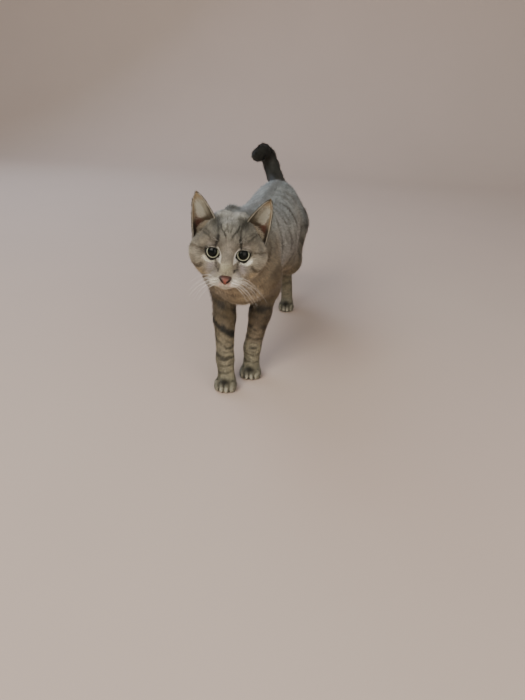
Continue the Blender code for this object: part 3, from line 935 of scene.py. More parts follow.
@dataclass(frozen=True)
class Markings:
    """The tabby coat's colours as functions of the place on the body. Skin and tufts both read them."""

    spine_x: tuple = ((-140.0, -6.0), (110.0, 8.0))  # (along, across) at the chest and at the hips

    def colour(self, points: Array, normals: Array, parts: Array) -> Array:
        """The coat's colour.

        Args:
            points: places on the body.
            normals: the surface's direction there.
            parts: the share of each Part there.

        Returns:
            sRGB colours.
        """
        total = np.zeros((len(points), 3))
        painters = {
            Part.HEAD: self.head,
            Part.NECK: self.neck,
            Part.TRUNK: self.trunk,
            Part.FORELEG_LEFT: self.foreleg,
            Part.FORELEG_RIGHT: self.foreleg,
            Part.HINDLEG_LEFT: self.hindleg,
            Part.HINDLEG_RIGHT: self.hindleg,
            Part.TAIL: self.tail,
        }
        for part, painter in painters.items():
            share = parts[:, part.value]
            here = share > 0.003
            if here.any():
                total[here] += share[here, None] * painter(points[here], normals[here])
        total /= np.maximum(parts.sum(axis=1, keepdims=True), 1e-6)
        clouds = ((0.09, 3.2, 10), (0.11, 6.5, 11), (0.06, 18.0, 12))
        return total * (1.0 + sum(deep * grain(points, size, seed) for deep, size, seed in clouds))[:, None]

    def from_spine(self, points: Array) -> Array:
        """How far to the side of the spine each point is."""
        (chest_y, chest_x), (hip_y, hip_x) = self.spine_x
        return np.abs(points[:, 0] - np.interp(points[:, 1], (chest_y, hip_y), (chest_x, hip_x)))

    def waves(self, along: Array, length: float) -> Array:
        """Waves from -1 to 1 along a distance: stripes lie where they are high."""
        return np.sin(2 * math.pi * along / length)

    def strokes(
        self, colour: Array, code: str, flat: Array, rough: Array, soft: float, lines: tuple
    ) -> Array:
        """Draws lines on the face.

        Args:
            colour: the colours so far.
            code: the lines' colour.
            flat: places in the face's plane, the two sides folded together.
            rough: how much further off each place counts, as hairs break the lines' edges.
            soft: how many half widths out a line ends.
            lines: each one's path, half width, and amount.

        Returns:
            The colours with the lines.
        """
        for path, half, amount in lines:
            apart = line_distance(flat, path) + rough
            colour = paint(colour, (code, amount * fade(half * 0.5, half * soft, apart)))
        return colour

    def trunk(self, points: Array, normals: Array) -> Array:
        """Grey back, painted blue-grey where skylight falls on its top and on the rump; warmer flanks, buff
        chest and belly, with faint upright stripes on the flanks.
        """
        y, z, up = points[:, 1], points[:, 2], normals[:, 2]
        off = self.from_spine(points)
        warp = 8.0 * grain(points, 42.0, 3) + 3.0 * grain(points, 15.0, 4)
        wave = self.waves(y + warp + 0.18 * (z - 180.0), 30.0)
        broken = rise(-0.55, 0.5, grain(points, 17.0, 5) + 0.4 * grain(points, 6.0, 6))
        stripes = 0.78 * rise(9, 24, off) * rise(-0.75, -0.2, up) * broken
        return paint(
            ramp(z, (112, "#6b5d45"), (140, "#6e6656"), (170, "#85827a"), (195, "#939289"), (225, "#979994")),
            # painted skylight: faces that look up are tinted blue-grey over the back's own grey
            ("#888e8c", 0.7 * rise(0.25, 0.9, up)),
            # painted reflection of bluish skylight on the top of the rump
            ("#7e8688", 0.6 * rise(50, 100, y) * rise(-0.2, 0.6, up)),
            ("#a79880", 0.85 * rise(-112, -160, y) * fade(0.1, 0.8, up)),
            ("#8d7f66", 0.7 * rise(-0.35, -0.85, up)),
            ("#403c34", stripes * rise(0.1, 0.9, wave)),
            ("#5a5a52", 0.75 * rise(-105, -150, y) * rise(0.55, 0.9, up)),
            ("#55544e", 0.42 * fade(3, 9, off) * rise(0.4, 0.85, up)),
        )

    def neck(self, points: Array, normals: Array) -> Array:
        """Grey over the nape, buff down the throat and chest, with two faint necklaces."""
        up, local = normals[:, 2], HEAD.into(points)
        wave = self.waves(local[:, 1] * 0.75 - local[:, 2] * 0.65 + 5.0 * grain(points, 26.0, 21), 25.0)
        bands = rise(0.15, 0.95, wave) * fade(0.4, 0.9, up)
        return paint(
            ramp(up, (-0.8, "#9c8c70"), (-0.1, "#8a7c64"), (0.45, "#7d7666"), (0.95, "#86867f")),
            ("#4a3c2b", 0.55 * bands * rise(-0.6, 0.4, grain(points, 11.0, 22))),
            ("#57564f", 0.35 * bump(self.from_spine(points), 0, 7) * rise(0.3, 0.8, up)),
        )

    def foreleg(self, points: Array, normals: Array) -> Array:
        """Buff with dark bars across, closer and thinner towards the pale paw."""
        x, z = points[:, 0], points[:, 2]
        colour = ramp(z, (10, "#9a967f"), (30, "#918a71"), (60, "#978d74"), (90, "#6e614b"), (130, "#615440"))
        colour = paint(colour, ("#8e7f66", 0.45 * rise(0.2, 0.8, normals[:, 1]) * rise(120, 60, z)))
        slant = np.where(x < 0.0, 0.56 * (-x - 21.5) * rise(45, 70, z), -0.10 * np.abs(x))
        height = z - slant + 2.4 * grain(points, 14.0, 31) + 1.6 * grain(points, 5.0, 32)
        broken = rise(-0.7, 0.15, grain(points, 8.0, 33))
        bars = (  # height, half width and amount of each
            (109, 6.0, 0.75), (96, 2.0, 0.35), (80, 4.8, 1.0), (70, 1.5, 0.4), (62, 2.2, 0.62),
            (56, 1.2, 0.35), (49, 2.2, 0.66), (43.5, 1.1, 0.35), (38, 1.8, 0.55), (32.5, 1.0, 0.35),
            (27.5, 1.7, 0.5),
        )
        for middle, half, amount in bars:
            level = amount * fade(half * 0.35, half * 1.3, np.abs(height - middle))
            colour = paint(colour, ("#231f16", 0.99 * level * broken))
        colour = paint(colour, ("#54432f", 0.45 * rise(50, 62, z) * rise(108, 92, z) * (x > 0.0)))
        return self.paw(points, normals, colour, Anatomy().front_toes)

    def hindleg(self, points: Array, normals: Array) -> Array:
        """Grey-brown haunch with curved bars, darker down the shank, and a pale paw."""
        y, z = points[:, 1], points[:, 2]
        warp = 7.0 * grain(points, 38.0, 41) + 2.5 * grain(points, 12.0, 42)
        wave = self.waves(z * 0.8 + y * 0.55 + warp, 26.0)
        stripes = 0.50 * rise(-0.9, -0.3, normals[:, 2]) * rise(30, 60, z)
        stripes = stripes * (0.8 + 0.3 * grain(points, 11.0, 43))
        stops = ((10, "#a39e8b"), (28, "#8f8770"), (60, "#857a62"), (110, "#7a705e"), (160, "#7d786b"))
        colour = paint(
            ramp(z, *stops, (205, "#848684")),
            ("#3d382e", stripes * rise(0.1, 0.9, wave)),
            ("#3f392e", 0.55 * rise(0.3, 0.9, normals[:, 1]) * rise(80, 30, z)),
        )
        return self.paw(points, normals, colour, Anatomy().hind_toes)

    def paw(self, points: Array, normals: Array, colour: Array, toes: dict) -> Array:
        """Pale toes with painted shade in the clefts between them, and a dark patch over the middle ones."""
        low = fade(18, 26, points[:, 2])
        for toe_x, toe_y in toes.values():
            x, y = points[:, 0] - toe_x, points[:, 1] - toe_y
            near = low * fade(22, 34, np.hypot(x, y - 12.0))
            # painted shade in the creases between the toes
            cleft_shade = np.max([bump(x, place * 7.7, 0.8) for place in (-1, 0, 1)], axis=0)
            patch = bump(x, 0.0, 7.0) * bump(y, 10.5, 5.5)
            colour = paint(
                colour,
                ("#a9a48e", 0.9 * near * fade(7, 18, y)),
                ("#3a352a", 0.6 * near * cleft_shade * fade(5, 11, y)),
                ("#d2cebb", 0.7 * near * rise(6.0, 2.0, y) * (1.0 - cleft_shade)),
                ("#26231b", 0.92 * near * patch * rise(-0.1, 0.5, normals[:, 2])),
            )
        return colour

    def tail(self, points: Array, normals: Array) -> Array:
        """Almost black above and at the tip, grey-brown below near the root, with rings that hardly show."""
        y, up = points[:, 1], normals[:, 2]
        wave = self.waves(y - 0.6 * points[:, 2] + 3.0 * grain(points, 14.0, 51), 22.0)
        return paint(
            ramp(y, (120, "#66655e"), (150, "#3d3d36"), (185, "#32322b")),
            ("#4a4439", 0.5 * rise(0.0, -0.8, up)),
            ("#201f1b", 0.5 * rise(-0.1, 0.9, wave)),
        )

    def head(self, points: Array, normals: Array) -> Array:
        """The face, crown and cheeks."""
        local = HEAD.into(points)
        x, y, z = np.abs(local[:, 0]), local[:, 1], local[:, 2]
        flat = np.stack([x, z], axis=1)
        face = fade(20, 32, y)
        stops = ((-40, "#8f8470"), (-20, "#918773"), (-5, "#928b7b"), (12, "#827c6e"), (26, "#87857a"))
        spots = (  # colour, amount, middle in the face's plane, scales along the two axes, and radius
            ("#a58f69", 0.6, (28, -21.5), (1.0, 1.3), 6.5),
            ("#756b58", 0.4, (27, 15), (1.0, 1.0), 9.0),
            ("#b9b3aa", 0.85, (18.5, 10.0), (1 / 2.2, 1.0), 2.4),
        )
        colour = paint(
            ramp(z, *stops, (40, "#a4a39a")),
            ("#857b6a", 0.6 * rise(24, 44, y) * rise(20, 0, z)),
            *[(code, amount * face * self.spot(flat, *sizes)) for code, amount, *sizes in spots],
        )
        # the bridge, olive low down, and the mauve grey beside it
        bridge = face * fade(4.5, 8.0, x) * rise(-20, -12, z) * rise(20, 10, z)
        # pale muzzle and chin
        muzzle = face * self.spot(flat, (8.5, -28.5), (1 / 10.0, 1 / 5.8), 1.0) * fade(-4, 6, y)
        rows = 0.5 + 0.5 * np.cos(2 * math.pi * (z + 0.35 * x) / 3.2)
        # the dark lines of the forehead
        combed = grain(np.stack([local[:, 0] - 0.012 * x * z, y * 0.1, z * 0.22], axis=1), 1.5, 63)
        crown = self.spot(flat, (17.5, 32.5), (1 / 1.1, 1.0), 6.5) * rise(36, 22, y)
        colour = paint(
            colour,
            ("#938b7d", 0.8 * bridge),
            ("#a09a7e", 0.75 * face * fade(4.0, 7.5, x) * bump(z, -13, 6)),
            ("#9c9291", 0.85 * face * self.spot(flat, (15.5, -16.5), (1.0, 1.0), 5.5)),
            ("#f6f1e4", np.minimum(1.25 * muzzle, 0.97)),
            ("#b3a998", 0.85 * face * self.spot(flat, (0.0, -38.0), (1 / 11.0, 1 / 6.5), 1.0)),
            ("#8b806c", 0.7 * muzzle * rise(0.45, 0.95, rows) * rise(7, 10, x)),
            ("#d9b3a3", 0.7 * face * self.spot(flat, (5.0, -30.0), (1.0, 1.0), 2.6)),
            ("#4c483d", 0.5 * rise(0.1, 0.7, combed) * face * rise(8, 18, z)),
            ("#37352b", 0.9 * crown),
        )
        forehead = (
            (((12.4, 8.5), (12.0, 13.5), (11.8, 19.0)), 1.25, face),
            (((11.8, 19.0), (12.6, 26.0), (14.5, 32.0)), 1.1, 0.6 * face),
            (((3.2, 18.8), (5.6, 22.7), (8.6, 26.0), (11.0, 30.5)), 0.7, 0.85 * face),
            (((1.2, 23.5), (2.4, 27.8), (3.2, 32.0)), 0.55, 0.55 * face),
            (((20.5, 14.5), (25.0, 17.5), (31.0, 18.5)), 0.9, 0.5 * face),
            (((22.0, 19.5), (27.0, 21.0), (33.0, 20.5)), 0.9, 0.45 * face),
        )
        fine = grain(points * np.array((1.0, 0.6, 0.6)), 2.6, 61)
        colour = self.strokes(colour, "#27241b", flat, 0.35 * fine, 1.6, forehead)
        back = rise(18, 30, y) * rise(5, 25, z)
        stripes = np.cos(2 * math.pi * (x + 1.2 * grain(points, 16.0, 62)) / 11.5)
        colour = paint(colour, ("#55524a", 0.28 * back * rise(0.3, 0.9, stripes)))
        return self.round_eyes(points, flat, face, colour)

    def spot(self, flat: Array, middle: tuple, scales: tuple, radius: float) -> Array:
        """A soft round or oval spot in the face's plane."""
        return bump(np.linalg.norm((flat - np.array(middle)) * np.array(scales), axis=1), 0, radius)

    def round_eyes(self, points: Array, flat: Array, face: Array, colour: Array) -> Array:
        """Cream round the lids and down the bridge, black rims, tear lines, and lines across the cheeks."""
        cheeks = (
            (((29.0, 3.2), (35.0, 2.4), (41.5, 3.2), (47.0, 0.5)), 0.9, 0.62 * face),
            (((27.0, -14.8), (31.0, -17.0), (38.0, -18.2), (44.0, -15.0)), 1.4, 0.9 * face),
            (((25.5, -27.5), (32.0, -29.5), (39.0, -26.0)), 1.5, 0.60 * face),
        )
        colour = self.strokes(colour, "#4a3f30", flat, 0.5 * grain(points, 3.5, 71), 1.8, cheeks)
        rims = []
        for eye in EYES:
            offset, around, local = eye.polar(points)
            beyond = offset - eye.rim(around)
            front = face * fade(-1, 3, local[:, 1])
            below = rise(0.25, -0.3, np.sin(around)) * rise(-0.98, -0.6, -np.cos(around))
            colour = paint(
                colour,
                ("#a9a396", 0.6 * front * fade(0.5, 1.3, beyond)),
                ("#faf3dd", front * below * fade(1.5, 3.2, beyond)),
            )
            rims.append(("#14120d", front * fade(-0.2, 0.2, beyond)))
        cream = line_distance(flat, ((10.4, 7.0), (8.2, 2.0), (7.3, -3.5), (7.6, -9.0)))
        cream = cream - 0.3 * rise(-5.0, 1.0, flat[:, 1])
        tear = line_distance(flat, ((10.8, -5.0), (10.1, -9.0), (9.5, -14.0), (8.8, -18.0)))
        return paint(
            colour,
            ("#f4efe0", 0.97 * face * fade(0.7, 1.7, cream)),
            ("#3b332a", 0.85 * face * fade(0.45, 1.5, tear)),
            *rims,
        )


# ------------------------ skin


@dataclass
class CoatMap:
    """What the coat does at each of a set of places."""

    depth: Array
    length: Array
    width: Array
    density: Array
    flow: Array
    parts: Array

    def at(self, corners: Array, weights: Array) -> "CoatMap":
        """The same at new places, each a weighted mean of three old ones."""
        means = []
        for name in self.__dataclass_fields__:
            values = getattr(self, name)[corners]
            shares = weights if values.ndim == 2 else weights[..., None]
            means.append((values * shares).sum(axis=1))
        return CoatMap(*means)


@dataclass
class Skin:
    """The skin: the blended surface a coat's depth inside the outline, with lids, mouth and flat soles."""

    body: Body
    markings: Markings
    cell: float = 2.1
    low: tuple = (-74.0, -304.0, -8.0)  # the corners of the box in which the surface is looked for
    high: tuple = (80.0, 276.0, 308.0)
    first_depth: float = 2.5
    face_cuts: int = 2  # each cell of the face is cut in three by three
    bare_sole: float = 1.4
    lips: tuple = ((0, -26.5), (0, -33.0), (4.0, -35.6), (8.5, -36.0), (13.0, -34.0), (17.0, -30.5))
    lip_depth: float = 1.3
    lip_width: float = 0.9
    nose_tip: tuple = (0.0, -24.0, -21.0)  # in the head's frame; the coat is shortest there
    nose_bridge: tuple = (0.0, -30.0, -15.0)  # the face's coat lies away from here
    leather: tuple = (0.0, -25.0, -24.7)  # the middle and the radii of the bare nose
    leather_radii: tuple = (8.6, 6.5, 5.8)
    points: Array = field(default=None, repr=False)
    triangles: Array = field(default=None, repr=False)
    normals: Array = field(default=None, repr=False)
    coat: CoatMap = field(default=None, repr=False)

    def shape(self) -> None:
        """Works out the skin's points and faces, and then how the coat grows on it."""
        low = np.array(self.low)
        size = tuple(((np.array(self.high) - low) / self.cell).astype(int) + 1)
        values = self.body.sample(low, self.cell, size) + self.first_depth
        points, quads = surface_net(values, low, self.cell)
        points, self.triangles = self.refined(self.settled(points, 3), quads)
        fine = HEAD.into(points)[:, 1] < 40.0
        points[fine] = self.settled(points[fine], 2)
        LOG.info("skin: %d points, %d triangles", len(points), len(self.triangles))
        lip = bump(self.mouth_gap(HEAD.into(points)), 0, self.lip_width)
        points = points - vertex_normals(points, self.triangles) * (self.lip_depth * lip)[:, None]
        for eye in EYES:
            points = eye.open_lids(points)
        points[:, 2] = np.maximum(points[:, 2], self.bare_sole)
        self.points = points
        self.normals = vertex_normals(points, self.triangles)
        self.coat = self.coat_map()

    def settled(self, points: Array, rounds: int) -> Array:
        """Moves points to where the coat is as deep over them as it should be there."""
        depth = np.array([mass.coat.value[0] for mass in self.body.masses])
        return self.body.settle(points, self.body.shares(points) @ depth, rounds)

    def refined(self, points: Array, quads: Array) -> tuple[Array, Array]:
        """Cuts the faces of the front of the head finer, and all faces into triangles."""
        mesh = bpy.data.meshes.new("net")
        mesh.from_pydata(points.tolist(), [], quads.tolist())
        work = bmesh.new()
        work.from_mesh(mesh)
        x, y, z = HEAD.into(points[quads].mean(axis=1)).T
        front = (y < 10) & (np.abs(x) < 36) & (z > -44) & (z < 21)
        work.faces.ensure_lookup_table()
        found = {edge for number in np.flatnonzero(front) for edge in work.faces[number].edges}
        edges = sorted(found, key=lambda edge: edge.index)
        bmesh.ops.subdivide_edges(work, edges=edges, cuts=self.face_cuts, use_grid_fill=True)
        bmesh.ops.triangulate(work, faces=work.faces)
        work.to_mesh(mesh)
        work.free()
        places = np.empty(len(mesh.vertices) * 3)
        mesh.vertices.foreach_get("co", places)
        corners = np.empty(len(mesh.loops), np.int32)
        mesh.loops.foreach_get("vertex_index", corners)
        bpy.data.meshes.remove(mesh)
        return places.reshape(-1, 3), corners.reshape(-1, 3)

    def mouth_gap(self, local: Array) -> Array:
        """Distance in the face's plane from the groove under the nose and the line between the lips."""
        flat = np.stack([np.abs(local[:, 0]), local[:, 2]], axis=1)
        return np.where(local[:, 1] < 2.0, line_distance(flat, self.lips), 100.0)

    def coat_map(self) -> CoatMap:
        """How the coat grows at each vertex: shorter round eyes and nose, none on lids, lips and soles."""
        masses = self.body.masses
        shares = self.body.shares(self.points)
        depth, length, width, density = (shares @ np.array([mass.coat.value for mass in masses])).T
        parts = shares @ np.array([[mass.part is part for part in Part] for mass in masses], float)
        local = HEAD.into(self.points)
        offset = eye_offset(self.points)
        from_nose = np.linalg.norm(local - np.array(self.nose_tip), axis=1)
        by_eye, by_nose = rise(0.5, 10, offset), 0.45 + 0.55 * rise(7, 30, from_nose)
        short = (0.42 + 0.58 * by_eye) * by_nose
        length, depth = length * (0.66 + 0.34 * by_eye) * by_nose, depth * (0.5 + 0.5 * short)
        width = width * (0.60 + 0.40 * short)
        density = density * (1.0 + 0.75 * (1.0 - short))
        density = density * rise(-0.1, 0.3, offset) * rise(0.5, 1.1, self.mouth_gap(local))
        leather = np.linalg.norm((local - np.array(self.leather)) / np.array(self.leather_radii), axis=1)
        density = density * rise(0.92, 1.04, leather)
        sole = (self.points[:, 2] < self.bare_sole + 0.3) & (self.normals[:, 2] < -0.6)
        density = np.where(sole, 0.0, density)
        return CoatMap(depth, length, width, density, self.flow(shares, local, parts), parts)

    def flow(self, shares: Array, local: Array, parts: Array) -> Array:
        """The way the coat lies: back and down the body, along legs and tail, and out from the nose.

        Args:
            shares: how much each mass has to say at each vertex.
            local: the vertices in the head's frame.
            parts: the share of each Part.

        Returns:
            Directions along the skin, of length one.
        """
        flow = shares @ np.array([mass.flow for mass in self.body.masses])
        chest = parts[:, Part.TRUNK.value] + parts[:, Part.NECK.value]
        flow = flow + np.array((0, 0, -1.0)) * (1.3 * chest * np.maximum(-self.normals[:, 1], 0))[:, None]
        out = unit(local - np.array(self.nose_bridge))
        out[:, 2] -= 0.35 * rise(8, 30, np.abs(local[:, 0])) * fade(0, 20, local[:, 2])
        head = parts[:, [Part.HEAD.value]]
        flow = self.along(flow * (1.0 - head) + unit(HEAD.turned(out)) * head)
        for eye in EYES:
            offset, around, seen = eye.polar(self.points)
            away = self.along(eye.place.turned(unit(seen * np.array((1.0, 0.0, 1.0)))))
            near = 0.85 * np.exp(-np.maximum(offset - eye.rim(around), 0) / 2.4) * (seen[:, 1] < 3.0)
            flow = flow * (1.0 - near[:, None]) + away * near[:, None]
        return unit(flow)

    def along(self, directions: Array) -> Array:
        """The part of each direction that lies along the skin, at length one."""
        return unit(directions - self.normals * (directions * self.normals).sum(1, keepdims=True))

    def colours(self) -> Array:
        """The markings, darkened as painted shade under the coat, as the tufts' roots are, except at the
        eyes' rims; with dark lips.
        """
        colour = self.markings.colour(self.points, self.normals, self.coat.parts)
        # painted shade: the skin shows only between the tufts, so it is darker, except right at the eyes'
        # rims
        colour = colour * (1.0 - 0.30 * rise(0.6, 2.2, eye_offset(self.points)))[:, None]
        gap = self.mouth_gap(HEAD.into(self.points))
        return paint(colour, ("#3a2b24", 0.9 * bump(gap, 0, self.lip_width)))


# ------------------------ ears


@dataclass(frozen=True)
class Ear:
    """A cupped triangle with a round tip. Its sheet runs up from the root and across from the inner edge."""

    side: Side
    inner: tuple = (17.0, 28.0, 32.0)  # ends of the root and the tip, in the head's frame, for the left side
    outer: tuple = (46.0, 32.0, 11.0)
    tip: tuple = (45.5, 37.0, 63.5)
    cup: float = 13.0
    thickness: float = 1.1
    rows: int = 44
    columns: int = 26

    def sheet(self, up: Array, across: Array) -> Array:
        """Points on the ear's middle sheet.

        The half width shrinks as (1 - up)^0.6, and the sheet bellies back by a cup, deepest in the middle.

        Args:
            up: from -0.25, inside the head, to 1 at the tip.
            across: from -1 at the inner edge to 1 at the outer one.
        """
        inner, outer, tip = (np.array(end) for end in (self.inner, self.outer, self.tip))
        up, across = up[:, None], across[:, None]
        room = np.maximum(1.0 - up, 0.0)
        half = np.maximum(room**0.6 * (1.0 + 0.25 * up), 0.02)
        middle = (inner + outer) / 2 * (1.0 - up) + tip * up
        narrowed = np.array((0.0, 0.0, 0.7)) * np.maximum(up, 0.0)
        cup = self.cup * room**0.9 + 1.0
        local = middle + (outer - inner) / 2 * (1.0 - narrowed) * across * half
        local = local + np.array((0.25, 0.93, 0.25)) * cup * (1.0 - across**2)
        local[:, 0] *= self.side.value
        return HEAD.out(local)

    def axes(self, up: Array, across: Array) -> tuple[Array, Array, Array]:
        """Directions up the sheet, across it to the outer edge, and out of the side that faces forwards."""
        step = 0.01
        upward = unit(self.sheet(up + step, across) - self.sheet(up - step, across))
        left, right = np.maximum(across - step, -1.0), np.minimum(across + step, 1.0)
        run = unit(self.sheet(up, right) - self.sheet(up, left))
        return upward, run, unit(np.cross(run, upward)) * self.side.value

    def shell(self) -> tuple[Array, Array, Array]:
        """The ear's closed shell: over the back from the inner edge to the outer, and over the front again.

        Returns:
            Points, triangles and colours.
        """
        up = -0.25 + 1.25 * (1.0 - (1.0 - np.linspace(0.0, 1.0, self.rows)) ** 1.4)
        line = np.sin(np.linspace(-0.5, 0.5, self.columns) * math.pi)
        loop = np.concatenate([line, line[::-1]])
        ups, acrosses = (grid.ravel() for grid in np.meshgrid(np.minimum(up, 0.995), loop, indexing="ij"))
        inside = np.tile(np.repeat([0.0, 1.0], self.columns), self.rows)
        _, _, normal = self.axes(ups, acrosses)
        half = self.thickness / 2 * (1.0 - 0.55 * acrosses**4)
        points = self.sheet(ups, acrosses) + normal * (half * np.where(inside > 0, 1.0, -1.0))[:, None]
        quads = grid_faces(self.rows, 2 * self.columns)[:, :: self.side.value]
        triangles = np.concatenate([quads[:, [0, 1, 2]], quads[:, [0, 2, 3]]])
        return points, triangles, self.colour(points, ups, acrosses, inside) * 0.85

    def colour(self, points: Array, up: Array, across: Array, inside: Array) -> Array:
        """Grey-brown behind, tip dark; inside, pale with a dark inner edge, tan outer edge, and painted shade
        at the base of the cup and in its reddish hollow.
        """
        behind = ramp(up, (0.0, "#7b776b"), (0.6, "#787160"), (0.95, "#675b45"))
        # the hollow of the ear's cup: its own reddish skin, darkened as painted shade
        hollow = bump(np.hypot((across - 0.40) / 0.42, (up - 0.16) / 0.20), 0, 1.0)
        edge = across + 0.42 * np.clip(up, 0.0, 1.0)
        front = paint(
            # painted shade: dark at the base of the cup, in the hollow and in the cup's lower outer corner
            ramp(up, (0, "#3d3324"), (0.14, "#4f4534"), (0.34, "#8f8a79"), (0.7, "#a8a290"), (1, "#957c58")),
            ("#5c3226", 0.8 * hollow),
            ("#2e241a", 0.8 * rise(0.55, 0.85, across) * rise(0.36, 0.16, up)),
            ("#9c8362", 0.85 * rise(0.62, 0.9, across) * rise(0.2, 0.45, up)),
            ("#474031", 0.9 * rise(-0.50, -0.78, edge) * rise(0.97, 0.7, up)),
            ("#d6cfbd", 0.9 * rise(0.955, 0.985, np.abs(across))),
        )
        colour = np.where(inside[:, None] > 0, front, behind)
        return colour * (1.0 + 0.06 * grain(points, 3.0, 81))[:, None]


# ------------------------ coat


@dataclass(frozen=True)
class Cylinder:
    """An unwrap of a stretch of skin: the angle round a line, and the place along it, each from 0 to 1."""

    start: tuple
    end: tuple
    seam: tuple  # the direction in which it is cut open

    def flat(self, points: Array) -> Array:
        """Places on the unwrap."""
        start, seam = np.array(self.start, float), np.array(self.seam, float)
        line = np.array(self.end, float) - start
        axis = line / np.linalg.norm(line)
        side = unit(seam - axis * (seam @ axis))
        rel = points - start
        angle = np.arctan2(rel @ np.cross(axis, side), rel @ side) % (2 * math.pi)
        along = rel @ axis / np.linalg.norm(line)
        return np.clip(np.stack([angle / (2 * math.pi), along], axis=1), 0.0, 1.0) * 0.97 + 0.01


@dataclass
class Tufts:
    """A set of tufts, each a thin blade that bends once: root, middle, tip, width, and what is outwards."""

    root: Array
    middle: Array
    tip: Array
    across: Array
    width: Array
    root_colour: Array
    colour: Array
    tip_colour: Array
    out: Array
    flat: Array

    PATCH = 0.0028  # how much of the unwrap a tuft takes, each way
    FLOOR = 0.15  # no hair reaches lower

    def some(self, chosen: Array) -> "Tufts":
        """The chosen ones of these tufts."""
        return Tufts(*[getattr(self, name)[chosen] for name in self.__dataclass_fields__])

    @classmethod
    def joined(cls, sets: list["Tufts"]) -> "Tufts":
        """Several sets in one."""
        names = cls.__dataclass_fields__
        return cls(*[np.concatenate([getattr(one, name) for one in sets]) for name in names])

    def piece(self, name: str, finish: Fur, slot: str) -> bpy.types.Object:
        """One piece of joined blades, each two triangles: pointed at root and tip, and widest at the bend."""
        half = self.across * (self.width / 2)[:, None]
        points = np.stack([self.root, self.middle - half, self.middle + half, self.tip], axis=1)
        points[..., 2] = np.maximum(points[..., 2], self.FLOOR)
        first = np.arange(len(self.root))[:, None] * 4
        blades = np.concatenate([first + np.array((0, 1, 2)), first + np.array((3, 2, 1))])
        mesh = new_mesh(name, points.reshape(-1, 3), blades)
        facing = unit(np.cross(self.middle - self.root, self.across))
        soft = unit(self.out + 0.5 * facing).astype(np.float32)
        normals = mesh.attributes.new("custom_normal", "FLOAT_VECTOR", "POINT")
        normals.data.foreach_set("vector", np.repeat(soft, 4, axis=0).ravel())
        colours = np.stack([self.root_colour, self.colour, self.colour, self.tip_colour], axis=1)
        set_colours(mesh, colours.reshape(-1, 3))
        patch = np.array(((0.5, 0), (0.1, 0.5), (0.9, 0.5), (0.5, 1))) * self.PATCH
        places = (self.flat[:, None, :] + patch).reshape(-1, 2)
        unwrap = mesh.uv_layers.new(name="OFBake")
        unwrap.data.foreach_set("uv", places[blades.ravel()].astype(np.float32).ravel())
        return new_piece(mesh, finish.material())


